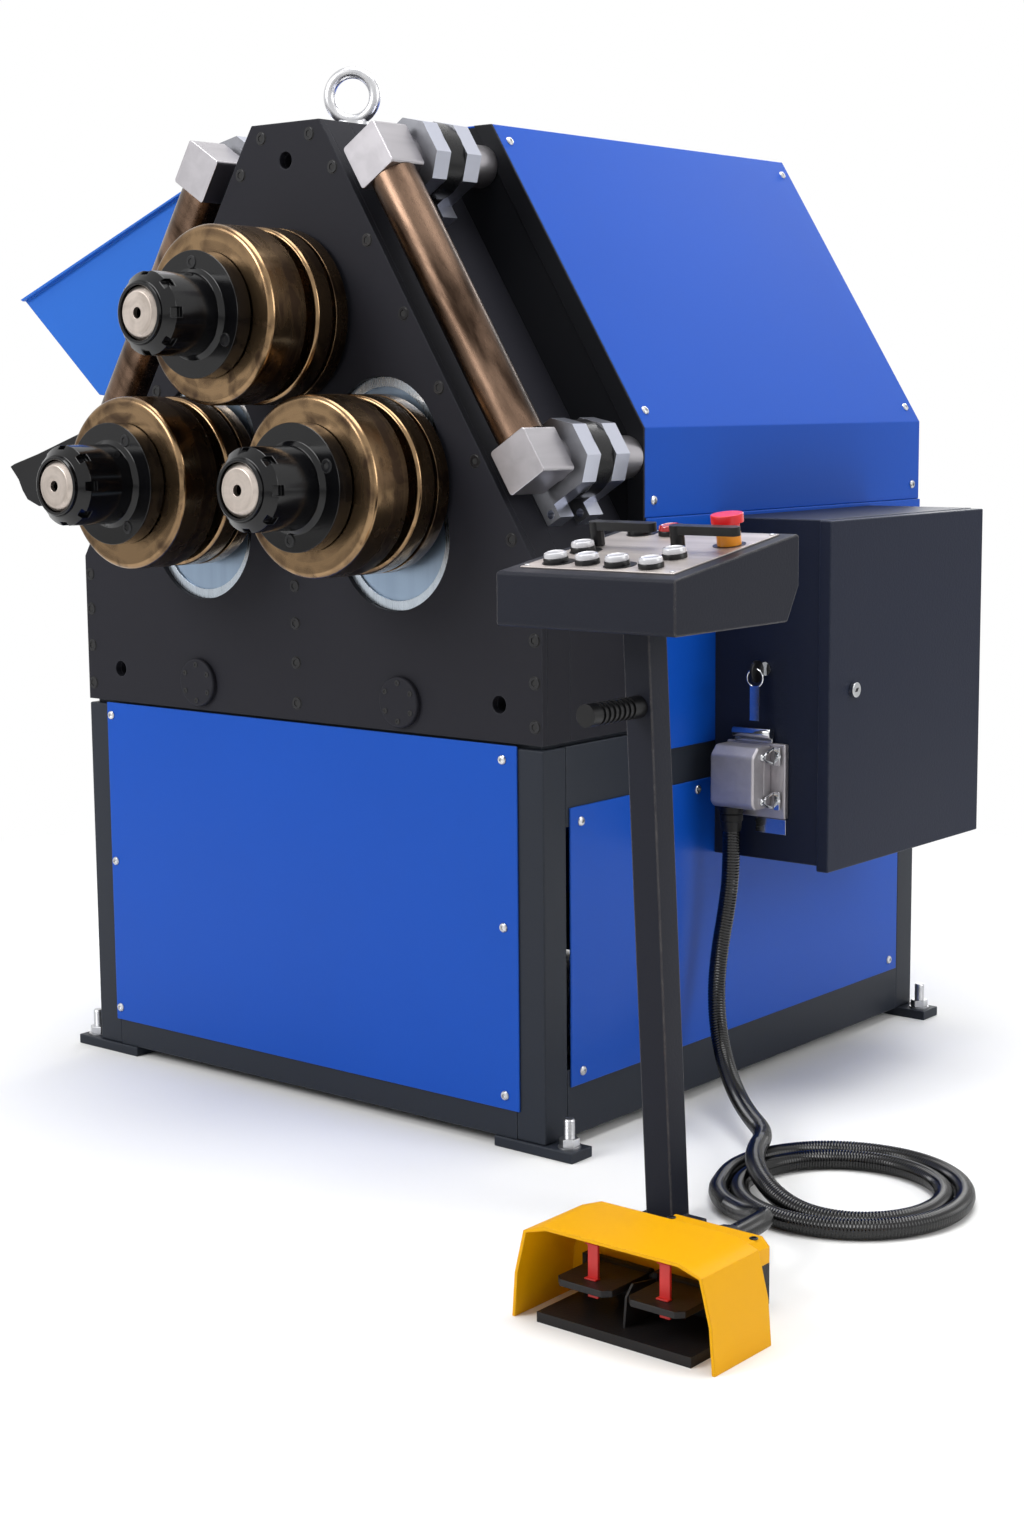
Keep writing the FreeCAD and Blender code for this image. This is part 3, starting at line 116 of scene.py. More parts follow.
# %% [markdown]
# Light
#
# A workshop machine is best judged in plain soft light, so two large lamps stand in for a bright
# window and a white ceiling, a third lights the right side, and a fourth keeps the back from going
# black. The world fills the rest. Only what the camera and mirror-like surfaces see of it is white.

# %% World and lamps
FILL_STRENGTH = 0.42
WHITE_STRENGTH = 1.0

world = bpy.data.worlds.new("studio")
bpy.context.scene.world = world
world.use_nodes = True
world_nodes = world.node_tree.nodes
world_links = world.node_tree.links
sky = world_nodes["Background"]
sky.inputs["Color"].default_value = (1, 1, 1, 1)
rays = world_nodes.new("ShaderNodeLightPath")
seen = rays.outputs["Is Camera Ray"]
for kind_of_ray in ("Is Glossy Ray", "Is Transmission Ray"):
    either = world_nodes.new("ShaderNodeMath")
    either.operation = "MAXIMUM"
    world_links.new(seen, either.inputs[0])
    world_links.new(rays.outputs[kind_of_ray], either.inputs[1])
    seen = either.outputs[0]
strength = world_nodes.new("ShaderNodeMapRange")
strength.inputs["To Min"].default_value = FILL_STRENGTH
strength.inputs["To Max"].default_value = WHITE_STRENGTH
world_links.new(seen, strength.inputs["Value"])
world_links.new(strength.outputs["Result"], sky.inputs["Strength"])

LAMPS = {
    "window_light": ((-1.7, -4.2, 3.3), 2.6, 150),
    "ceiling_light": ((0.3, 0.1, 4.4), 3.4, 150),
    "side_light": ((4.4, 0.9, 2.3), 2.4, 60),
    "back_light": ((-1.2, 4.6, 3.0), 2.6, 70),
}
for lamp_name, (lamp_place, lamp_size, lamp_watts) in LAMPS.items():
    light = bpy.data.lights.new(lamp_name, "AREA")
    light.shape = "DISK"
    light.size = lamp_size
    light.energy = lamp_watts
    lamp = bpy.data.objects.new(lamp_name, light)
    bpy.context.scene.collection.objects.link(lamp)
    lamp.location = lamp_place
    lamp.rotation_euler = (Vector((0, 0, 0.7)) - Vector(lamp_place)).to_track_quat("-Z", "Y").to_euler()
bpy.context.scene.view_settings.view_transform = "Standard"
print(f"{len(LAMPS)} lamps")

# %% [markdown]
# Tools for finishes
#
# A finish is a small network of nodes. Colours are read off as the screen shows them, so one
# function turns them into the linear values that a shader needs. One more adds any node at all,
# with its settings and its links, which keeps each finish down to a few readable lines.

# %% Colour and node helpers


def linear(hex_colour):
    """A screen colour such as #2450b0 as the linear colour that a shader takes."""
    shares = [int(hex_colour[i:i + 2], 16) / 255 for i in (1, 3, 5)]
    return tuple(s / 12.92 if s <= 0.04045 else ((s + 0.055) / 1.055) ** 2.4 for s in shares) + (1.0,)


def add_node(material, kind, inputs=None, **settings):
    """Adds one node. An input is a plain value, or the output of a node before it."""
    made = material.node_tree.nodes.new(kind)
    for name, value in settings.items():
        setattr(made, name, value)
    for socket, value in (inputs or {}).items():
        if isinstance(value, bpy.types.NodeSocket):
            material.node_tree.links.new(value, made.inputs[socket])
        else:
            made.inputs[socket].default_value = value
    return made


def start_finish(name, colour, roughness, metallic=0.0, **more):
    """A new material and its shader, with what is the same all over already set."""
    material = bpy.data.materials.new(name)
    material.use_nodes = True
    shader = material.node_tree.nodes["Principled BSDF"]
    shader.inputs["Base Color"].default_value = linear(colour)
    shader.inputs["Roughness"].default_value = roughness
    shader.inputs["Metallic"].default_value = metallic
    for socket, value in more.items():
        shader.inputs[socket.replace("_", " ")].default_value = value
    material.diffuse_color = linear(colour)
    return material, shader


def link(material, output, socket):
    material.node_tree.links.new(output, socket)


# %% [markdown]
# Powder coat
#
# Sheet panels, the frame and the cabinet are sprayed with dry powder and baked. That gives an even
# colour with a slight orange peel and a broad soft gloss. Thin bright lines run along the edges:
# partly where the coat is rubbed off, partly a painted highlight where an edge catches light. The
# lines come from comparing the true surface direction with a rounded one: they only differ at an
# edge.

# %% Powder coat
# Sizes in millimetres: the coat's faint clouds, the edge strip of wear and painted highlight, and its chips.
CLOUD_SIZE = 260.0
EDGE_STRIP = 2.2
CHIP_SIZE = 14.3
CLOUD_CONTRAST = 0.9


def powder_coat(name, colour, roughness, peel=2.6, peel_height=0.10, worn_and_highlit_colour="#9aa0a8", wear_and_highlight=0.45, sheen=0.5):
    """Baked powder paint: peel is the size of its orange peel in millimetres."""
    material, shader = start_finish(name, colour, roughness, Specular_IOR_Level=sheen)
    place = add_node(material, "ShaderNodeTexCoord").outputs["Object"]
    cloud = add_node(material, "ShaderNodeTexNoise", {
        "Vector": place, "Scale": 1000 / CLOUD_SIZE, "Detail": 5.0, "Roughness": 0.55})
    darker = tuple(c * CLOUD_CONTRAST for c in linear(colour)[:3]) + (1.0,)
    painted = add_node(material, "ShaderNodeMixRGB", {
        "Fac": cloud.outputs["Fac"], "Color1": darker, "Color2": linear(colour)})
    edge = add_node(material, "ShaderNodeBevel", {"Radius": EDGE_STRIP * MM}, samples=3)
    true_side = add_node(material, "ShaderNodeNewGeometry")
    same = add_node(material, "ShaderNodeVectorMath", {
        0: edge.outputs["Normal"], 1: true_side.outputs["Normal"]}, operation="DOT_PRODUCT")
    # Lighter edge lines: partly rubbed-off coat, partly painted highlight.
    rubbed_and_highlit = add_node(material, "ShaderNodeMapRange", {
        "Value": same.outputs["Value"], "From Min": 0.985, "From Max": 0.86, "To Max": wear_and_highlight})
    chips = add_node(material, "ShaderNodeTexNoise", {
        "Vector": place, "Scale": 1000 / CHIP_SIZE, "Detail": 4.0})
    patchy_wear_and_highlight = add_node(material, "ShaderNodeMath", {
        0: rubbed_and_highlit.outputs["Result"], 1: chips.outputs["Fac"]}, operation="MULTIPLY")
    finished = add_node(material, "ShaderNodeMixRGB", {
        "Fac": patchy_wear_and_highlight.outputs["Value"], "Color1": painted.outputs["Color"], "Color2": linear(worn_and_highlit_colour)})
    link(material, finished.outputs["Color"], shader.inputs["Base Color"])
    smudge = add_node(material, "ShaderNodeMapRange", {
        "Value": cloud.outputs["Fac"], "To Min": roughness - 0.05, "To Max": roughness + 0.08})
    link(material, smudge.outputs["Result"], shader.inputs["Roughness"])
    grain = add_node(material, "ShaderNodeTexNoise", {"Vector": place, "Scale": 1000 / peel, "Detail": 2.0})
    bump = add_node(material, "ShaderNodeBump", {
        "Height": grain.outputs["Fac"], "Distance": peel_height * MM, "Normal": edge.outputs["Normal"]})
    link(material, bump.outputs["Normal"], shader.inputs["Normal"])
    return material


# The panels' gentian blue powder: a clean saturated blue with a soft window gloss.
gentian_blue_powder = powder_coat("gentian_blue_powder", "#0c4bb0", 0.34,
                                  worn_and_highlit_colour="#6f94dc", wear_and_highlight=0.3, sheen=0.16)
# The guard sheet's coat: the same blue with painted light, a lighter copy for the light that it stands in.
blue_powder_painted_lighter = powder_coat("blue_powder_painted_lighter", "#1b62c2", 0.38, wear_and_highlight=0.0, sheen=0.3)
# The welded frame's graphite powder: nearly black, slightly cool, a little glossier.
graphite_powder = powder_coat("graphite_powder", "#292d35", 0.38, sheen=0.13)
# The head's fine matt paint over machined plate: flat and dull so that only edges catch light.
matt_black_paint = powder_coat("matt_black_paint", "#212127", 0.55, peel=1.8, wear_and_highlight=0.2, sheen=0.12)
# The housing walls behind the guides: the same dull paint, painted darker as painted shade for their recess.
wall_black_painted_shade = powder_coat("wall_black_painted_shade", "#16171b", 0.5, wear_and_highlight=0.25, sheen=0.12)
# The switch cabinet: structured anthracite powder with a fine sandy touch.
anthracite_powder = powder_coat("anthracite_powder", "#1b2030", 0.44, peel=3.4, peel_height=0.22, sheen=0.12)
# The console's powder: the same, with strong edge lines of wear where arms rest and painted highlight.
rubbed_and_highlit_console_powder = powder_coat("rubbed_and_highlit_console_powder", "#1e2029", 0.44, peel=3.4, peel_height=0.22,
                                    worn_and_highlit_colour="#c2bcb6", wear_and_highlight=1.3, sheen=0.12)
# The foot switch's guard: warm signal yellow, thick and smooth.
signal_yellow_powder = powder_coat("signal_yellow_powder", "#e9a900", 0.36,
                                   worn_and_highlit_colour="#fbd56a", wear_and_highlight=0.3, sheen=0.12)
print("powder coats ready")

# %% [markdown]
# Steel, turned and ground
#
# The rolls are turned from tool steel and browned by heat and oil. On a lathe every mark runs
# round the axis, so the pattern may depend only on two things: how far a point is from the axis
# and how far along it lies. Patches of oxide lie over that, between straw and dark brown.

# %% Browned roll steel
# Sizes in millimetres. Real turning marks are finer than this and wouldn't show in the render.
TURNING_MARK = 1.6
BAND_WIDTH = 18.2
OXIDE_PATCH = 48.0


def browned_steel(name, axis_x, axis_z, light="#8f7557", dark="#45362a", roughness=0.2):
    """Turned and browned steel whose marks run round the level axis through (axis_x, axis_z)."""
    material, shader = start_finish(name, light, roughness, metallic=1.0)
    place = add_node(material, "ShaderNodeTexCoord").outputs["Object"]
    axis = at(axis_x, 0, axis_z)
    around = add_node(material, "ShaderNodeVectorMath", {
        0: place, 1: (axis.x, 0, axis.z)}, operation="SUBTRACT")
    across = add_node(material, "ShaderNodeVectorMath", {
        0: around.outputs["Vector"], 1: (1, 0, 1)}, operation="MULTIPLY")
    radius = add_node(material, "ShaderNodeVectorMath", {0: across.outputs["Vector"]}, operation="LENGTH")
    split = add_node(material, "ShaderNodeSeparateXYZ", {0: place})
    turning = add_node(material, "ShaderNodeCombineXYZ", {
        "X": radius.outputs["Value"], "Y": split.outputs["Y"]})
    marks = add_node(material, "ShaderNodeTexNoise", {
        "Vector": turning.outputs["Vector"], "Scale": 1000 / TURNING_MARK, "Detail": 3.0})
    bands = add_node(material, "ShaderNodeTexNoise", {
        "Vector": turning.outputs["Vector"], "Scale": 1000 / BAND_WIDTH, "Detail": 4.0})
    patches = add_node(material, "ShaderNodeTexNoise", {
        "Vector": place, "Scale": 1000 / OXIDE_PATCH, "Detail": 6.0, "Distortion": 0.9})
    both = add_node(material, "ShaderNodeMath", {
        0: patches.outputs["Fac"], 1: bands.outputs["Fac"]}, operation="ADD")
    oxide = add_node(material, "ShaderNodeMapRange", {
        "Value": both.outputs["Value"], "From Min": 0.82, "From Max": 1.12})
    colour = add_node(material, "ShaderNodeMixRGB", {
        "Fac": oxide.outputs["Result"], "Color1": linear(dark), "Color2": linear(light)})
    link(material, colour.outputs["Color"], shader.inputs["Base Color"])
    dull = add_node(material, "ShaderNodeMapRange", {
        "Value": oxide.outputs["Result"], "To Min": roughness + 0.16, "To Max": roughness})
    link(material, dull.outputs["Result"], shader.inputs["Roughness"])
    bump = add_node(material, "ShaderNodeBump", {"Height": marks.outputs["Fac"], "Distance": 0.05 * MM})
    link(material, bump.outputs["Normal"], shader.inputs["Normal"])
    return material


ROLL_AXES = {"upper": (0, 1140), "left": (-181, 909), "right": (181, 909)}
roll_steels = {side: browned_steel(f"browned_roll_steel_{side}", *axis) for side, axis in ROLL_AXES.items()}
# The shafts' bright turned ends: paler, with the same rings but hardly any oxide.
shaft_steels = {side: browned_steel(f"turned_shaft_steel_{side}", *axis, light="#cabfb6", dark="#a1978f",
                                    roughness=0.3) for side, axis in ROLL_AXES.items()}
print(f"{len(roll_steels) + len(shaft_steels)} turned steels")

# %% [markdown]
# Flat and drawn steel
#
# A milled face has fine straight marks one way, and a drawn bar has long scratches along its
# length. Both are the same thing: noise that is stretched along one direction. The stretch is
# made by squeezing the coordinates along it before they reach the noise.

# %% Metals with a direction
CLOUDS_IN_A_PATCH = 3


def grained_metal(name, colour, dark, roughness, along, mark=1.2, stretch=40.0, patch=70.0, height=0.04):
    """Metal with marks along one direction: mark is their spacing in millimetres."""
    material, shader = start_finish(name, colour, roughness, metallic=1.0)
    place = add_node(material, "ShaderNodeTexCoord").outputs["Object"]
    tilt = Vector((0, 0, 1)).rotation_difference(Vector(along)).to_euler()
    laid = add_node(material, "ShaderNodeMapping", {
        "Vector": place, "Rotation": tilt, "Scale": (1, 1, stretch)}, vector_type="TEXTURE")
    marks = add_node(material, "ShaderNodeTexNoise", {
        "Vector": laid.outputs["Vector"], "Scale": 1000 / mark, "Detail": 4.0})
    patches = add_node(material, "ShaderNodeTexNoise", {
        "Vector": laid.outputs["Vector"], "Scale": 1000 / patch * CLOUDS_IN_A_PATCH, "Detail": 5.0, "Distortion": 0.4})
    shade = add_node(material, "ShaderNodeMapRange", {
        "Value": patches.outputs["Fac"], "From Min": 0.36, "From Max": 0.62})
    tone = add_node(material, "ShaderNodeMixRGB", {
        "Fac": shade.outputs["Result"], "Color1": linear(dark), "Color2": linear(colour)})
    link(material, tone.outputs["Color"], shader.inputs["Base Color"])
    dull = add_node(material, "ShaderNodeMapRange", {
        "Value": marks.outputs["Fac"], "To Min": roughness - 0.05, "To Max": roughness + 0.1})
    link(material, dull.outputs["Result"], shader.inputs["Roughness"])
    bump = add_node(material, "ShaderNodeBump", {"Height": marks.outputs["Fac"], "Distance": height * MM})
    link(material, bump.outputs["Normal"], shader.inputs["Normal"])
    return material


# The slides' ground faces: cool blue-grey with fine upright marks.
ground_slide_steel = grained_metal("ground_slide_steel", "#93a5ba", "#8c9eb3", 0.34, (0, 0, 1), height=0.02)
# The liners' turned ring, paler where the slide has polished it.
polished_liner_steel = grained_metal("polished_liner_steel", "#c3ccd6", "#b9c2cc", 0.25, (0, 0, 1),
                                     height=0.0)
# The satin blocks on the guide bars: milled bright steel with a warm grey haze.
milled_block_steel = grained_metal("milled_block_steel", "#b5b2b6", "#aca9ad", 0.3, (0, 1, 0), stretch=12,
                                   height=0.015)
# Zinc on screws, studs and the key: pale, slightly blue, soft in its gloss.
bright_zinc = grained_metal("bright_zinc", "#cfcfd1", "#bcbdc0", 0.28, (0, 0, 1), stretch=3, height=0.0)
# The connector's die-cast aluminium: dull silver with a fine cast skin.
cast_aluminium = grained_metal("cast_aluminium", "#b3afb3", "#a9a6aa", 0.5, (0, 1, 0), stretch=2, height=0.04)
# The guide bars on each incline: drawn bar, browned with use, scratched along its length.
INCLINE = math.radians(58)
browned_bar_steel = grained_metal("browned_bar_steel", "#7a6353", "#33271f", 0.26,
                                  (-math.cos(INCLINE), 0, math.sin(INCLINE)), mark=2.2, stretch=5, patch=110,
                                  height=0.05)
print("ground, milled and drawn steel ready")

# %% [markdown]
# Flame-cut clamps
#
# The clamps on the inclines are cut from thick plate. Their faces are painted dark as painted shade,
# and the cut flats round the outside are painted bright as painted highlight. The shader tells them
# apart by which way they face: the faces look to the front or the back, and the flats don't.

# %% Plate with bright flats
FACE_CLOUD = 22.2
clamp_plate_painted_by_side, clamp_shader = start_finish("clamp_plate_painted_by_side", "#56565a", 0.4, metallic=1.0)
clamp_place = add_node(clamp_plate_painted_by_side, "ShaderNodeTexCoord")
clamp_split = add_node(clamp_plate_painted_by_side, "ShaderNodeSeparateXYZ", {0: clamp_place.outputs["Normal"]})
# Faces that look front or back get the darker tone, painted shade; the flats the bright one, painted highlight.
clamp_face = add_node(clamp_plate_painted_by_side, "ShaderNodeMath", {
    0: clamp_split.outputs["Y"]}, operation="ABSOLUTE")
painted_shade_share = add_node(clamp_plate_painted_by_side, "ShaderNodeMapRange", {
    "Value": clamp_face.outputs["Value"], "From Min": 0.6, "From Max": 0.9})
face_cloud = add_node(clamp_plate_painted_by_side, "ShaderNodeTexNoise", {
    "Vector": clamp_place.outputs["Object"], "Scale": 1000 / FACE_CLOUD, "Detail": 5.0})
painted_shade_tone = add_node(clamp_plate_painted_by_side, "ShaderNodeMixRGB", {
    "Fac": face_cloud.outputs["Fac"], "Color1": linear("#6c6d72"), "Color2": linear("#8f9095")})
clamp_tone = add_node(clamp_plate_painted_by_side, "ShaderNodeMixRGB", {
    "Fac": painted_shade_share.outputs["Result"], "Color1": linear("#c2c5d2"), "Color2": painted_shade_tone.outputs["Color"]})
link(clamp_plate_painted_by_side, clamp_tone.outputs["Color"], clamp_shader.inputs["Base Color"])
clamp_dull = add_node(clamp_plate_painted_by_side, "ShaderNodeMapRange", {
    "Value": painted_shade_share.outputs["Result"], "To Min": 0.28, "To Max": 0.5})
link(clamp_plate_painted_by_side, clamp_dull.outputs["Result"], clamp_shader.inputs["Roughness"])
print(clamp_plate_painted_by_side.name)

# %% [markdown]
# Blackened steel, rubber and plastics
#
# These are dark, and what tells them apart is their gloss. Oil-blackened nuts mirror the window,
# moulded grips are dull, and the lenses of the buttons are clear. Each gets a little unevenness,
# because a perfectly even dark surface looks like a hole.

# %% Dark and moulded finishes
TONE_CLOUD = 45.5


def moulded(name, colour, roughness, grain=1.5, height=0.05, tone=0.8, metallic=0.0, **more):
    """A moulded or dipped surface: grain is the size of its texture in millimetres."""
    material, shader = start_finish(name, colour, roughness, metallic, **more)
    place = add_node(material, "ShaderNodeTexCoord").outputs["Object"]
    cloud = add_node(material, "ShaderNodeTexNoise", {
        "Vector": place, "Scale": 1000 / TONE_CLOUD, "Detail": 5.0})
    darker = tuple(c * tone for c in linear(colour)[:3]) + (1.0,)
    tinted = add_node(material, "ShaderNodeMixRGB", {
        "Fac": cloud.outputs["Fac"], "Color1": darker, "Color2": linear(colour)})
    link(material, tinted.outputs["Color"], shader.inputs["Base Color"])
    dull = add_node(material, "ShaderNodeMapRange", {
        "Value": cloud.outputs["Fac"], "To Min": roughness - 0.04, "To Max": roughness + 0.08})
    link(material, dull.outputs["Result"], shader.inputs["Roughness"])
    texture = add_node(material, "ShaderNodeTexNoise", {
        "Vector": place, "Scale": 1000 / grain, "Detail": 2.0})
    bump = add_node(material, "ShaderNodeBump", {"Height": texture.outputs["Fac"], "Distance": height * MM})
    link(material, bump.outputs["Normal"], shader.inputs["Normal"])
    return material


# Oil-blackened steel of the ring nuts and flanges: deep black with a hard wet-looking gloss.
oil_blackened_steel = moulded("oil_blackened_steel", "#08080a", 0.13, height=0.02, Specular_IOR_Level=0.35)
# Black screws in the head: the same treatment gone dull in a workshop.
black_screw_steel = moulded("black_screw_steel", "#17171a", 0.3, Specular_IOR_Level=0.35)
# The gap round a sunk screw and the bottom of its socket, where no light comes back.
screw_shadow = moulded("screw_shadow", "#0b0b0c", 0.7)
# The bands between the clamps: smooth black rubber pulled tight.
band_rubber = moulded("band_rubber", "#0b0b0d", 0.26, grain=3.0, Specular_IOR_Level=0.3)
# The hose: nylon-ribbed rubber, wiped clean, so each rib carries a thin line of light.
ribbed_hose_rubber = moulded("ribbed_hose_rubber", "#050506", 0.17, grain=2.0, Specular_IOR_Level=0.5)
# The grip and the gland boots: soft vinyl, dull and a little dusty.
soft_black_vinyl = moulded("soft_black_vinyl", "#0e0e10", 0.42, Specular_IOR_Level=0.25)
# Moulded nylon of the selector levers: satin black.
satin_black_nylon = moulded("satin_black_nylon", "#0f0f11", 0.32, Specular_IOR_Level=0.3)
# The pedals and the switch's base: cast iron under thin black paint, scuffed by boots.
scuffed_black_iron = moulded("scuffed_black_iron", "#1f1d1e", 0.42, grain=4.0, height=0.3, tone=0.5,
                             Specular_IOR_Level=0.25)
# The flags on the pedals: dyed nylon, a dry red.
red_nylon = moulded("red_nylon", "#cf2a28", 0.42)
# The stop button: glossy signal red, and its amber collar.
signal_red_plastic = moulded("signal_red_plastic", "#e0262a", 0.2, tone=0.92)
amber_plastic = moulded("amber_plastic", "#f5980f", 0.28, tone=0.92)
# The panel's legend plate: anodised sheet, pale and warm, brushed from left to right.
anodised_plate = grained_metal("anodised_plate", "#bcb5b1", "#a8a19e", 0.42, (1, 0, 0), mark=1.0)
# The lenses of the push buttons: clear acrylic over a pale diffuser, so they read as milky glass.
clear_acrylic = moulded("clear_acrylic", "#cfcfd4", 0.07, height=0.0, tone=0.9, Coat_Weight=1.0)
red_acrylic = moulded("red_acrylic", "#b3262a", 0.1, height=0.0, tone=0.9, Coat_Weight=1.0)
# Chromium on the lock and the bezels: a near mirror.
chromium = moulded("chromium", "#d8dadd", 0.1, height=0.0, metallic=1.0)
print("dark and moulded finishes ready")

# %% [markdown]
# Dressing the nodes
#
# The frame's own nodes keep their shape and their place. Each gets its finish, and a bevel that
# breaks its sharp edges by the millimetre or so that a deburred plate or a folded sheet has.
# The bevel is a modifier: welding and flattening come first, so it only finds true edges.

# %% Finishes for the nodes
FINISHES = {
    gentian_blue_powder: ["front_panel", "base_panels", "side_covers", "lower_side_covers", "top_cover"],
    blue_powder_painted_lighter: ["guard_sheet"],
    graphite_powder: ["foot_plates", "base_posts", "base_rails", "base_top_plate"],
    matt_black_paint: ["head_front_plate", "slide_housing", "head_core", "pivot_caps"],
    wall_black_painted_shade: ["housing_walls"],
    anthracite_powder: ["cabinet_box", "cabinet_door"],
    rubbed_and_highlit_console_powder: ["console_box", "console_stand"],
    signal_yellow_powder: ["pedal_hood"],
    ground_slide_steel: ["left_slide_plate", "right_slide_plate"],
    polished_liner_steel: ["slot_liners"],
    milled_block_steel: ["guide_blocks", "guide_shafts"],
    bright_zinc: ["lifting_eye"],
    cast_aluminium: ["connector_plate", "connector_hood"],
    clamp_plate_painted_by_side: ["guide_clamps"],
    band_rubber: ["guide_bands"],
    soft_black_vinyl: ["guide_horn", "handle_grip"],
    satin_black_nylon: ["left_selector", "right_selector"],
    scuffed_black_iron: ["pedal_base", "left_pedal", "right_pedal"],
    red_nylon: ["left_flag", "right_flag"],
    signal_red_plastic: ["stop_button"],
    amber_plastic: ["stop_collar"],
    anodised_plate: ["console_panel"],
    chromium: ["door_lock", "cabinet_key"],
    browned_bar_steel: ["guide_bars"],
}
for roll in ROLL_AXES:
    FINISHES[roll_steels[roll]] = [f"{roll}_rolls"]
    FINISHES[shaft_steels[roll]] = [f"{roll}_shaft"]
FINISHES[oil_blackened_steel] = [f"{roll}_nut" for roll in ROLL_AXES]

# Widths in millimetres: a node that isn't listed gets the default, and 0 leaves it as it is.
DEFAULT_EDGE = 0.8
EDGES = {
    "side_covers": 1.4, "lower_side_covers": 1.4, "front_panel": 1.2, "base_panels": 1.2, "guard_sheet": 1.2,
    "console_box": 2.4, "cabinet_box": 1.4, "cabinet_door": 2.6, "guide_blocks": 1.0, "guide_clamps": 1.0,
    "connector_hood": 3.5, "connector_plate": 2.0, "console_stand": 2.0, "pedal_hood": 1.6, "pedal_base": 2.4,
    "left_pedal": 2.4, "right_pedal": 2.4, "base_posts": 2.5, "left_selector": 2.6, "right_selector": 2.6,
    "cabinet_key": 0.0, "lifting_eye": 0.0, "slot_liners": 0.5, "left_slide_plate": 0.6,
    "right_slide_plate": 0.6, "handle_grip": 0.4, "console_panel": 0.5, "foot_plates": 1.5,
}
EDGE_ANGLE = math.radians(28)
FLAT_WITHIN = math.radians(0.3)
CORNERS_MEET_WITHIN = 0.01


def dress(node_name, material):
    """Gives a node its finish and breaks its edges, without changing its own mesh."""
    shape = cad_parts[node_name]
    for held in shape.material_slots:
        held.link = "OBJECT"
        held.material = material
    width = EDGES.get(node_name, DEFAULT_EDGE)
    if width:
        joined = shape.modifiers.new("join_corners", "WELD")
        joined.merge_threshold = CORNERS_MEET_WITHIN * MM
        flat = shape.modifiers.new("merge_flat_faces", "DECIMATE")
        flat.decimate_type = "DISSOLVE"
        flat.angle_limit = FLAT_WITHIN
        bevel = shape.modifiers.new("broken_edge", "BEVEL")
        bevel.width = width * MM
        bevel.segments = 2
        bevel.limit_method = "ANGLE"
        bevel.angle_limit = EDGE_ANGLE
        even = shape.modifiers.new("even_normals", "WEIGHTED_NORMAL")
        even.keep_sharp = False


for finish, names in FINISHES.items():
    for name in names:
        dress(name, finish)
print(f"{sum(len(names) for names in FINISHES.values())} nodes dressed")

# %% [markdown]
# Turned small parts
#
# Screws, caps, collars and studs are all bodies of revolution. One function turns a profile round
# its axis, and can make some of its rings six-sided, which gives sockets and nuts. The faces
# between its rings come from a function of their own, because the hose and the bent wires are rings
# of points too. Another stands the result on a surface, and many copies are joined into one mesh.

# %% Mesh helpers
SIDES = 24
SMOOTH_BELOW = math.radians(32)


def tube_faces(rings, sides):
    """The faces between rings of points, with a cap at each end."""
    faces = [
        (ring * sides + step, ring * sides + (step + 1) % sides,
         (ring + 1) * sides + (step + 1) % sides, (ring + 1) * sides + step)
        for ring in range(rings - 1) for step in range(sides)]
    faces.append(tuple(range(sides))[::-1])
    faces.append(tuple(range((rings - 1) * sides, rings * sides)))
    return faces


def lathe(profile, sides=SIDES, six_sided=()):
    """Turns (radius, height) pairs round Z. The rings named in six_sided become hexagons."""
    points = []
    for index, (radius, height) in enumerate(profile):
        for step in range(sides):
            angle = 2 * math.pi * step / sides
            reach = radius
            if index in six_sided:
                reach = radius / math.cos((angle + math.pi / 6) % (math.pi / 3) - math.pi / 6)
            points.append((reach * math.cos(angle), reach * math.sin(angle), height))
    return np.array(points), tube_faces(len(profile), sides)


def slab(length, width, height):
    """A block in millimetres, centred on Z, standing on its base."""
    corners = [(x, y, z) for z in (0, height) for y in (-width / 2, width / 2)
               for x in (-length / 2, length / 2)]
    faces = [(0, 2, 3, 1), (4, 5, 7, 6), (0, 1, 5, 4), (2, 6, 7, 3), (0, 4, 6, 2), (1, 3, 7, 5)]
    return np.array(corners, float), faces


def stand(shape, place, facing, turn=0.0):
    """Stands a shape on a place in metres, with its own Z along facing."""
    points, faces = shape
    spin = facing.to_track_quat("Z", "Y").to_matrix() @ Matrix.Rotation(turn, 3, "Z")
    return points * MM @ np.array(spin).T + np.array(place), faces


def add_piece(name, shapes, material, body="frame", edge=0.0):
    """Joins shapes into one named piece that rides on a body."""
    points, faces, count = [], [], 0
    for shape_points, shape_faces in shapes:
        points.append(shape_points)
        faces += [tuple(index + count for index in face) for face in shape_faces]
        count += len(shape_points)
    mesh = bpy.data.meshes.new(name)
    mesh.from_pydata(np.concatenate(points).tolist(), [], faces)
    mesh.materials.append(material)
    mesh.shade_smooth()
    mesh.set_sharp_from_angle(angle=SMOOTH_BELOW)
    made = bpy.data.objects.new(name, mesh)
    bpy.context.scene.collection.objects.link(made)
    if edge:
        bevel = made.modifiers.new("broken_edge", "BEVEL")
        bevel.width = edge * MM
        bevel.segments = 2
        bevel.limit_method = "ANGLE"
        bevel.angle_limit = EDGE_ANGLE
    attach(made, body)
    print(f"{name}: {len(shapes)} shapes, {len(mesh.polygons)} faces")
    return made


# %% [markdown]
# The hose
#
# A ribbed hose hangs from the connector, lies in two loose turns on the floor and ends in the foot
# switch. It is modelled the way it behaves: one smooth curve of its full length, with a sweep of
# real ribs along it. A short plan says how far it lies from the middle of its turns at each
# heading, from the inside to the outside, so they fan out, and the falling end lands on top.

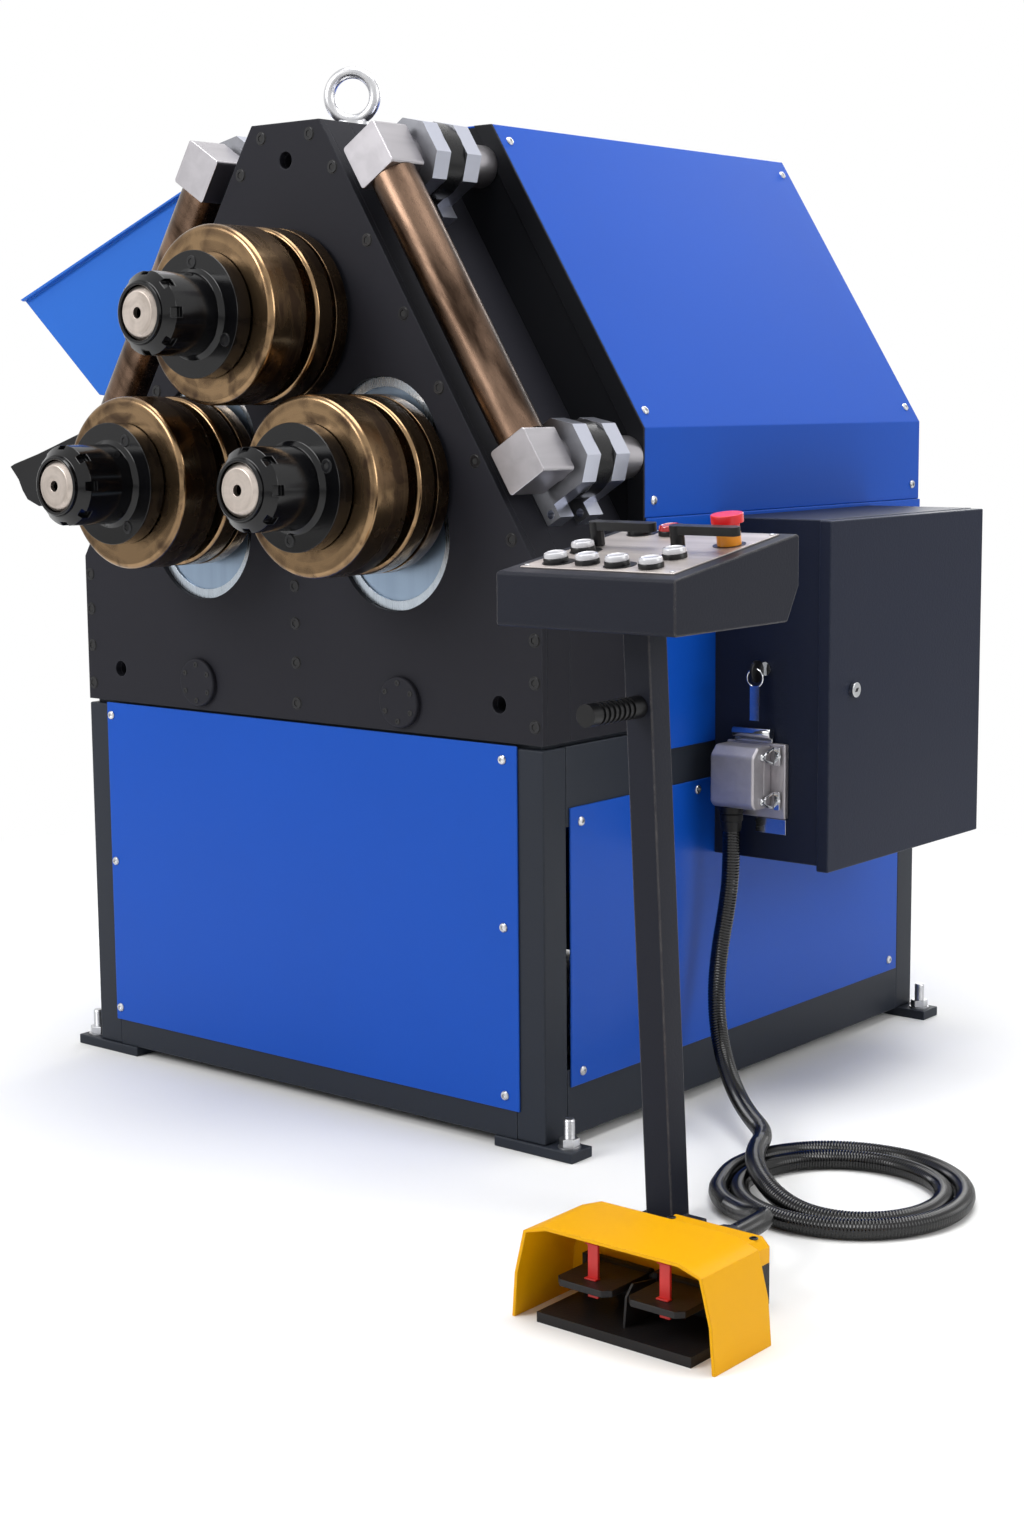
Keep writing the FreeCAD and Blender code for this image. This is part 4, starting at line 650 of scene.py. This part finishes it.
# %% The hose's route
HOSE_RADIUS = 13.0 * MM
HOSE_DROP = [
    (0.411, 0.102, 0.405), (0.411, 0.102, 0.345), (0.406, 0.098, 0.290), (0.400, 0.090, 0.234),
    (0.401, 0.079, 0.178), (0.415, 0.063, 0.126), (0.445, 0.037, 0.082), (0.490, 0.000, 0.052),
    (0.543, -0.045, 0.040), (0.600, -0.092, 0.0375),
]
HOSE_TAIL = [
    (0.624, -0.236, 0.013), (0.642, -0.268, 0.013), (0.668, -0.293, 0.013), (0.700, -0.312, 0.0145),
    (0.7321, -0.3328, 0.021), (0.7701, -0.363, 0.0352), (0.8017, -0.4032, 0.0495), (0.815, -0.454, 0.056),
    (0.815, -0.489, 0.056),
]
coil_low, coil_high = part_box("hose_coil")
COIL_MIDDLE = (coil_low + coil_high) / 2
# Each row is a heading about the coil's middle in degrees, the distance from it and the height.
COIL_PLAN = np.array([
    (182, 142, 39), (206, 120, 37), (230, 112, 31), (254, 112, 21), (278, 116, 14), (302, 120, 13),
    (330, 122, 13), (440, 122, 13), (520, 135, 13), (560, 141, 13), (600, 146, 13), (720, 148, 13),
    (760, 150, 13), (860, 171, 13), (904, 172, 13)])
COIL_STEP = 22.5

route = [Vector(point) for point in HOSE_DROP]
for turned in np.arange(COIL_PLAN[0, 0], COIL_PLAN[-1, 0], COIL_STEP):
    reach, height = (np.interp(turned, COIL_PLAN[:, 0], COIL_PLAN[:, k]) * MM for k in (1, 2))
    angle = math.radians(turned)
    route.append(Vector((COIL_MIDDLE.x + reach * math.cos(angle),
                         COIL_MIDDLE.y + reach * math.sin(angle), height)))
route += [Vector(point) for point in HOSE_TAIL]
print(f"the route has {len(route)} points")

# %% One smooth curve
curve = bpy.data.curves.new("hose_route", "CURVE")
curve.dimensions = "3D"
curve.resolution_u = 20
spline = curve.splines.new("NURBS")
spline.points.add(len(route) - 1)
for control, point in zip(spline.points, route):
    control.co = (*point, 1)
spline.order_u = 3
spline.use_endpoint_u = True
guide = bpy.data.objects.new("hose_route", curve)
line = bpy.data.meshes.new_from_object(guide)
hose_line = np.array([v.co for v in line.vertices])
bpy.data.objects.remove(guide)
runs = np.linalg.norm(np.diff(hose_line, axis=0), axis=1)
hose_length = float(runs.sum())
print(f"the hose is {hose_length:.3f} m long")

# %% Ribs along the curve
RIB_PITCH = 4.2 * MM
RIB_PROFILE = (1.0, 1.0, 0.93)
HOSE_SIDES = 14
along = np.concatenate([[0], np.cumsum(runs)])
ring_count = int(hose_length / RIB_PITCH * len(RIB_PROFILE))
stations = np.linspace(0, hose_length, ring_count)
centres = np.stack([np.interp(stations, along, hose_line[:, k]) for k in range(3)], axis=1)
headings = np.gradient(centres, axis=0)
headings /= np.linalg.norm(headings, axis=1)[:, None]
side_way = np.array([1.0, 0.0, 0.0])
hose_points = []
for index, (centre, heading) in enumerate(zip(centres, headings)):
    side_way = side_way - heading * (side_way @ heading)
    side_way /= np.linalg.norm(side_way)
    other_way = np.cross(heading, side_way)
    rib = HOSE_RADIUS * RIB_PROFILE[index % len(RIB_PROFILE)]
    for step in range(HOSE_SIDES):
        angle = 2 * math.pi * step / HOSE_SIDES
        hose_points.append(centre + rib * (side_way * math.cos(angle) + other_way * math.sin(angle)))
hose_shape = np.array(hose_points), tube_faces(ring_count, HOSE_SIDES)
hose = add_piece("ribbed_hose", [hose_shape], ribbed_hose_rubber)
hose.data.polygons.foreach_set("use_smooth", [True] * len(hose.data.polygons))
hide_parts("hose_tube", "hose_coil")

# %% [markdown]
# Gland boots
#
# Where the hose leaves the connector and where it enters the foot switch, a boot keeps it from
# kinking: a nut with a knurled rim, then a cone that thins down to the hose. Both are turned from
# one profile each, because a moulded boot is round all the way.

# %% Two boots
CONNECTOR_BOOT = [(17.0, 0), (17.0, 9), (15.6, 10.5), (16.6, 12), (16.6, 20), (15.0, 22), (14.6, 30),
                  (13.4, 36)]
SWITCH_BOOT = [(19.0, 0), (19.0, 9), (18.0, 12), (17.6, 17), (16.0, 20), (14.8, 26), (13.5, 30)]
boots = add_piece("hose_boots", [
    stand(lathe(CONNECTOR_BOOT), at(511, 364, 441), -UP),
    stand(lathe(SWITCH_BOOT), at(915, -257, 56), TO_BACK),
], soft_black_vinyl)
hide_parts("hose_glands")

# %% [markdown]
# Screws
#
# The panels are held by bright pan-head screws, and the head by black socket screws that sit in
# counterbores. Nobody notices one screw, but everybody notices when they are missing or when they
# float. So each row is given as places on its own surface, and stands on that surface.

# %% Bright screws on the panels
PAN_HEAD = [(6.6, 0), (6.6, 1.1), (5.6, 2.6), (3.6, 3.4), (2.6, 3.5), (2.2, 1.6)]
PANEL_FRONT = -3
PANEL_SIDE = 458
COVER_SIDE = 455
PANEL_REAR = 988
FOLD_HEIGHT = 982
COVER_NORMAL = Vector((math.sin(INCLINE), 0, math.cos(INCLINE)))


def up_the_cover(distance, y, sign):
    """A place on the slanted cover, counted up from its fold."""
    inward, upward = distance * math.cos(INCLINE), distance * math.sin(INCLINE)
    return at(sign * (COVER_SIDE - inward), y, FOLD_HEIGHT + upward)


pan_head = lathe(PAN_HEAD, six_sided=(4, 5))
bright_screws = []
for x in (-402, 387):
    for z in (542, 311, 75):
        bright_screws.append(stand(pan_head, at(x, PANEL_FRONT, z), TO_FRONT))
        bright_screws.append(stand(pan_head, at(-x, PANEL_REAR, z), TO_BACK))
for sign, facing in ((1, TO_RIGHT), (-1, TO_LEFT)):
    for y, z in ((78, 454), (355, 461), (640, 461), (905, 454), (80, 104), (905, 104)):
        bright_screws.append(stand(pan_head, at(sign * PANEL_SIDE, y, z), facing))
    for y in (250, 962):
        bright_screws.append(stand(pan_head, at(sign * COVER_SIDE, y, 882), facing))
        outward = Vector((sign * COVER_NORMAL.x, 0, COVER_NORMAL.z))
        for distance in (28, 478):
            bright_screws.append(stand(pan_head, up_the_cover(distance, y, sign), outward))
    for y in (270, 940):
        bright_screws.append(stand(pan_head, at(sign * PANEL_SIDE, y, 836), facing))
        bright_screws.append(stand(pan_head, at(sign * 150, y, 1411), UP))
add_piece("panel_screws", bright_screws, bright_zinc)

# %% Black socket screws in the head
SUNK_RING = [(9.7, 0), (9.7, 0.2), (8.5, 0.2)]
SOCKET_HEAD = [(8.6, 0), (8.6, 0.8), (8.0, 1.5), (4.6, 1.5), (4.2, 0.5)]
column_heights = (760, 706, 649, 590)
head_places = [(x, z) for x in (-444, 0, 442) for z in column_heights]
head_places += [(sign * x, z) for sign in (1, -1) for x, z in (
    (47, 1390), (90, 1342), (153, 1240), (218, 1139), (280, 1039), (342, 941), (404, 838))]
sunk_ring, socket_head = lathe(SUNK_RING), lathe(SOCKET_HEAD, six_sided=(3, 4))
add_piece("head_screw_seats", [stand(sunk_ring, at(x, 0, z), TO_FRONT) for x, z in head_places],
          screw_shadow)
add_piece("head_screws", [stand(socket_head, at(x, 0, z), TO_FRONT) for x, z in head_places],
          black_screw_steel)
socket_floor = lathe([(4.2, 0), (4.2, 0.55)], 12)
add_piece("head_screw_sockets", [stand(socket_floor, at(x, 0, z), TO_FRONT) for x, z in head_places],
          screw_shadow)

# %% Small screws on the pivot caps
CAP_X, CAP_Z = 203, 607
CAP_CIRCLE = 27
CAP_FACE = -8
cap_screw = lathe([(4.2, 0), (4.2, 0.6), (3.6, 1.0), (1.9, 1.0), (1.7, 0.3)], six_sided=(3, 4))
cap_places = [
    at(sign * CAP_X + CAP_CIRCLE * math.sin(math.radians(60 * step)), CAP_FACE,
       CAP_Z + CAP_CIRCLE * math.cos(math.radians(60 * step)))
    for sign in (-1, 1) for step in range(6)]
add_piece("pivot_cap_screws", [stand(cap_screw, place, TO_FRONT) for place in cap_places], screw_shadow)

# %% Screws in the roll flanges
FLANGE_FACE = -184
FLANGE_CIRCLE = 70
FIRST_SCREW = {"upper": 90, "left": 60, "right": 25}
for roll, (axis_x, axis_z) in ROLL_AXES.items():
    screws, seats = [], []
    for step in range(3):
        angle = math.radians(FIRST_SCREW[roll] - 120 * step)
        place = at(axis_x + FLANGE_CIRCLE * math.cos(angle), FLANGE_FACE,
                   axis_z + FLANGE_CIRCLE * math.sin(angle))
        screws.append(stand(socket_head, place, TO_FRONT))
        seats.append(stand(sunk_ring, place, TO_FRONT))
        seats.append(stand(socket_floor, place, TO_FRONT))
    add_piece(f"{roll}_flange_screws", screws, black_screw_steel, f"{roll}_roll")
    add_piece(f"{roll}_flange_seats", seats, screw_shadow, f"{roll}_roll")

# %% [markdown]
# Shaft ends
#
# A bright washer-like face closes each shaft, with a centre drilling left by the lathe and a dark
# retaining ring round it. On the drawing this is one chamfered bar. The ring is added as a turned
# piece in the groove between the shaft's chamfer and the nut.

# %% Retaining rings
RING_SEAT = -278
SHAFT_END = -275.4
ring_profile = [(41.0, 0), (41.0, 4.0), (39.5, 5.0), (37.4, 5.0), (36.4, 4.0), (36.4, 0)]
drilling_profile = [(7.3, 0), (7.3, 0.4)]
for roll, (axis_x, axis_z) in ROLL_AXES.items():
    ring = stand(lathe(ring_profile, 48), at(axis_x, RING_SEAT, axis_z), TO_FRONT)
    add_piece(f"{roll}_retaining_ring", [ring], oil_blackened_steel, f"{roll}_roll")
    drilling = stand(lathe(drilling_profile), at(axis_x, SHAFT_END, axis_z), TO_FRONT)
    add_piece(f"{roll}_centre_drilling", [drilling], screw_shadow, f"{roll}_roll")

# %% [markdown]
# Levelling studs
#
# The machine stands on four pads with a threaded stud and a nut each. A thread is a helix, but
# seen from two metres its rings are enough, so the stud is turned with one ridge for every
# two millimetres of pitch, and the nut is a turned body with six-sided rings.

# %% Studs and nuts
THREAD_PITCH = 2.0
STUD_FOOT = 15
STUD_TOP = 55
thread = [(7.2, 0)]
for ridge in range(int((STUD_TOP - STUD_FOOT - 2) / THREAD_PITCH)):
    thread.append((8.0, ridge * THREAD_PITCH + 0.5 * THREAD_PITCH))
    thread.append((7.2, (ridge + 1) * THREAD_PITCH))
thread.append((6.6, STUD_TOP - STUD_FOOT))
nut = [(16.0, 0), (16.0, 2.0), (11.4, 2.0), (12.2, 3.2), (12.2, 12.0), (11.4, 13.0)]
stud_feet = [at(x, y, STUD_FOOT) for x in (-482, 482) for y in (18.5, 966.5)]
studs = add_piece("threaded_studs", [stand(lathe(thread, 18), foot, UP) for foot in stud_feet]
                  + [stand(lathe(nut, six_sided=(2, 3, 4, 5)), foot, UP) for foot in stud_feet],
                  bright_zinc)
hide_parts("levelling_studs")

# %% [markdown]
# The control console
#
# The buttons stand in two groups on a slanted plate. Each is a black collar, a clear lens with a
# rounded rim and a dark legend ring under it. The slope comes from the drawing, so one function
# finds any place on it, and a button is turned once and repeated.

# %% Places on the slanted plate
SLOPE = math.radians(8.9)
SLOPE_NORMAL = Vector((0, -math.sin(SLOPE), math.cos(SLOPE)))
CONSOLE_FRONT = -227
CONSOLE_FRONT_TOP = 816
PLATE_THICKNESS = 2


def on_plate(x, y, lift=0.0):
    """A place on the console's plate, raised along the slope's normal."""
    foot = at(x, y, CONSOLE_FRONT_TOP + (y - CONSOLE_FRONT) * math.tan(SLOPE))
    return foot + SLOPE_NORMAL * (PLATE_THICKNESS + lift) * MM


CLEAR_BUTTONS = [(617, -174), (665, -174), (711, -176), (763, -179), (610, -111), (759, -126), (618, -4)]
RED_BUTTON = (666, -4)
LEVERS = {"left": (608, -78), "right": (736, -86)}
print("plate slope", round(math.degrees(SLOPE), 1))

# %% Push buttons
collar = lathe([(15.5, 0), (15.5, 5.0), (14.9, 6.0), (13.6, 6.0)], 32)
lens_cap = lathe([(13.6, 5.6), (14.6, 6.6), (14.6, 10.0), (13.6, 12.2), (11.0, 13.0), (9.5, 12.2)], 32)
legend = lathe([(20.5, 0), (20.5, 0.5), (16.0, 0.5)], 32)
all_buttons = CLEAR_BUTTONS + [RED_BUTTON]
collars = add_piece("button_collars", [stand(collar, on_plate(x, y), SLOPE_NORMAL) for x, y in all_buttons],
                    satin_black_nylon)
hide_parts("push_buttons")
add_piece("button_lenses", [stand(lens_cap, on_plate(x, y), SLOPE_NORMAL) for x, y in CLEAR_BUTTONS],
          clear_acrylic)
add_piece("red_button_lens", [stand(lens_cap, on_plate(*RED_BUTTON), SLOPE_NORMAL)], red_acrylic)
legend_places = [(x + 4, y) for x, y in all_buttons[::2]] + [(785, -49)]
add_piece("button_legends", [stand(legend, on_plate(x, y), SLOPE_NORMAL) for x, y in legend_places],
          satin_black_nylon)

# %% Marks on the levers and screws on the plate
LEVER_TIP = 66
LEVER_TOP = 31.4
for side, (x, y) in LEVERS.items():
    mark = stand(slab(14, 2.2, 0.4), on_plate(x + LEVER_TIP, y, LEVER_TOP - PLATE_THICKNESS), SLOPE_NORMAL)
    add_piece(f"{side}_lever_mark", [mark], clear_acrylic, f"{side}_handle")
plate_corners = [(x, y) for x in (590, 806) for y in (-197, 12)]
plate_screw = lathe([(3.4, 0), (3.4, 0.8), (2.6, 1.6), (1.4, 1.6), (1.2, 0.6)], 18)
add_piece("plate_screws", [stand(plate_screw, on_plate(x, y), SLOPE_NORMAL) for x, y in plate_corners],
          bright_zinc)

# %% [markdown]
# The cabinet's fittings
#
# The door has a quarter-turn lock, whose insert is a dark double bit. The key hangs on the front.
# Below it sits a heavy connector: a cast hood held on its plate by two sprung levers, under a
# hinged weather flap. The levers are bent wire, swept along a few points.

# %% Lock insert
LOCK_FACE = 663
bit = [stand(slab(9, 2.4, 0.5), at(LOCK_FACE - 0.2, 454, 611), TO_RIGHT, turn=0.5),
       stand(lathe([(2.6, 0), (2.6, 0.6)], 16), at(LOCK_FACE - 0.2, 454, 611), TO_RIGHT)]
add_piece("lock_insert", bit, screw_shadow, "door")


def wire(points, radius, sides=10):
    """A bent wire through places in millimetres, with its corners left to the bevel."""
    path = [at(*point) for point in points]
    rings = []
    for index, place in enumerate(path):
        before, after = path[max(index - 1, 0)], path[min(index + 1, len(path) - 1)]
        heading = (after - before).normalized()
        spin = heading.to_track_quat("Z", "Y").to_matrix()
        for step in range(sides):
            angle = 2 * math.pi * step / sides
            rings.append(place + spin @ Vector((math.cos(angle), math.sin(angle), 0)) * radius * MM)
    return np.array(rings), tube_faces(len(path), sides)


# %% Connector fittings
latch_shapes = []
for z in (452, 516):
    latch_shapes.append(wire([(568, 396, z + 9), (569, 384, z + 11), (567, 366, z + 5), (566, 358, z),
                              (567, 366, z - 5), (569, 384, z - 11), (568, 396, z - 9)], 2.2))
    latch_shapes.append(stand(lathe([(5.5, 0), (5.5, 3), (3.5, 5.5)], 20), at(562.5, 362, z), TO_RIGHT))
    latch_shapes.append(stand(slab(9, 26, 3), at(576, 384.5, z), TO_FRONT))
    latch_shapes.append(stand(lathe([(4.5, 0), (4.5, 2.5), (2.4, 4)], 20), at(577, 385, z), TO_FRONT))
add_piece("connector_latches", latch_shapes, chromium, edge=0.4)
flap = [stand(slab(64, 4, 20), at(531, 391, 533), UP)]
flap.append(stand(lathe([(7.5, 0), (8.0, 1), (8.0, 63), (7.5, 64)], 24), at(499, 388, 547), TO_RIGHT))
add_piece("connector_flap", flap, chromium, edge=0.6)
add_piece("connector_tab", [stand(slab(52, 22, 1.6), at(556, 398, 412), TO_FRONT)], chromium,
          edge=0.4)
rib_shapes = [stand(slab(3, 54, 1.4), at(562.5, 369, 486), TO_RIGHT)]
add_piece("connector_rib", rib_shapes, cast_aluminium, edge=0.5)

# %% The key's black bow
bow_profile = [(14.0, 0), (16.0, 1.2), (16.0, 4.8), (14.0, 6.0)]
add_piece("key_bow", [stand(lathe(bow_profile, 28), at(543, 374, 637), TO_RIGHT)], satin_black_nylon)

# %% [markdown]
# The foot switch
#
# The yellow guard is folded sheet over a cast base. What makes it look real is small: the screws
# that hold its cover and the lips on the red flags.

# %% Foot switch details
cover_screw = lathe([(5.2, 0), (5.2, 0.8), (3.6, 1.6), (2.4, 1.6), (2.2, 0.5)], 20, six_sided=(3, 4))
cover_screw_seats = [at(x, y, 78) for x in (858, 972) for y in (-345, -270)]
add_piece("switch_cover_screws", [stand(cover_screw, seat, UP) for seat in cover_screw_seats],
          black_screw_steel)
for side, x in (("left", 866), ("right", 964)):
    lips = [stand(slab(18, 7, 1.6), at(x, -431, 93.6), UP), stand(slab(16, 9, 1.8), at(x, -433, 54), UP)]
    add_piece(f"{side}_flag_lips", lips, red_nylon, f"{side}_foot_pedal", edge=0.5)

# %% [markdown]
# The floor
#
# The floor is only there to catch a shadow. Near the machine it is a pale sheet, lit like the
# rest. Further out it fades into plain white light, so that no horizon shows behind the machine.

# %% Floor
FLOOR_REACH = 14.0
FADE_START, FADE_END = 1.0, 2.3
floor_mesh = bpy.data.meshes.new("floor")
floor_mesh.from_pydata([(-FLOOR_REACH, -FLOOR_REACH, 0), (FLOOR_REACH, -FLOOR_REACH, 0),
                        (FLOOR_REACH, FLOOR_REACH, 0), (-FLOOR_REACH, FLOOR_REACH, 0)], [], [(0, 1, 2, 3)])
pale_floor, floor_shader = start_finish("pale_floor", "#f7f7f6", 0.9)
floor_place = add_node(pale_floor, "ShaderNodeTexCoord").outputs["Object"]
distance = add_node(pale_floor, "ShaderNodeVectorMath", {0: floor_place}, operation="LENGTH")
far_off = add_node(pale_floor, "ShaderNodeMapRange", {
    "Value": distance.outputs["Value"], "From Min": FADE_START, "From Max": FADE_END})
floor_rays = add_node(pale_floor, "ShaderNodeLightPath")
seen_share = add_node(pale_floor, "ShaderNodeMath", {
    0: far_off.outputs["Result"], 1: floor_rays.outputs["Is Camera Ray"]}, operation="MULTIPLY")
plain_white = add_node(pale_floor, "ShaderNodeEmission")
floor_mix = add_node(pale_floor, "ShaderNodeMixShader", {
    "Fac": seen_share.outputs["Value"], 1: floor_shader.outputs["BSDF"], 2: plain_white.outputs["Emission"]})
link(pale_floor, floor_mix.outputs["Shader"], pale_floor.node_tree.nodes["Material Output"].inputs["Surface"])
floor_mesh.materials.append(pale_floor)
floor = bpy.data.objects.new("floor", floor_mesh)
bpy.context.scene.collection.objects.link(floor)
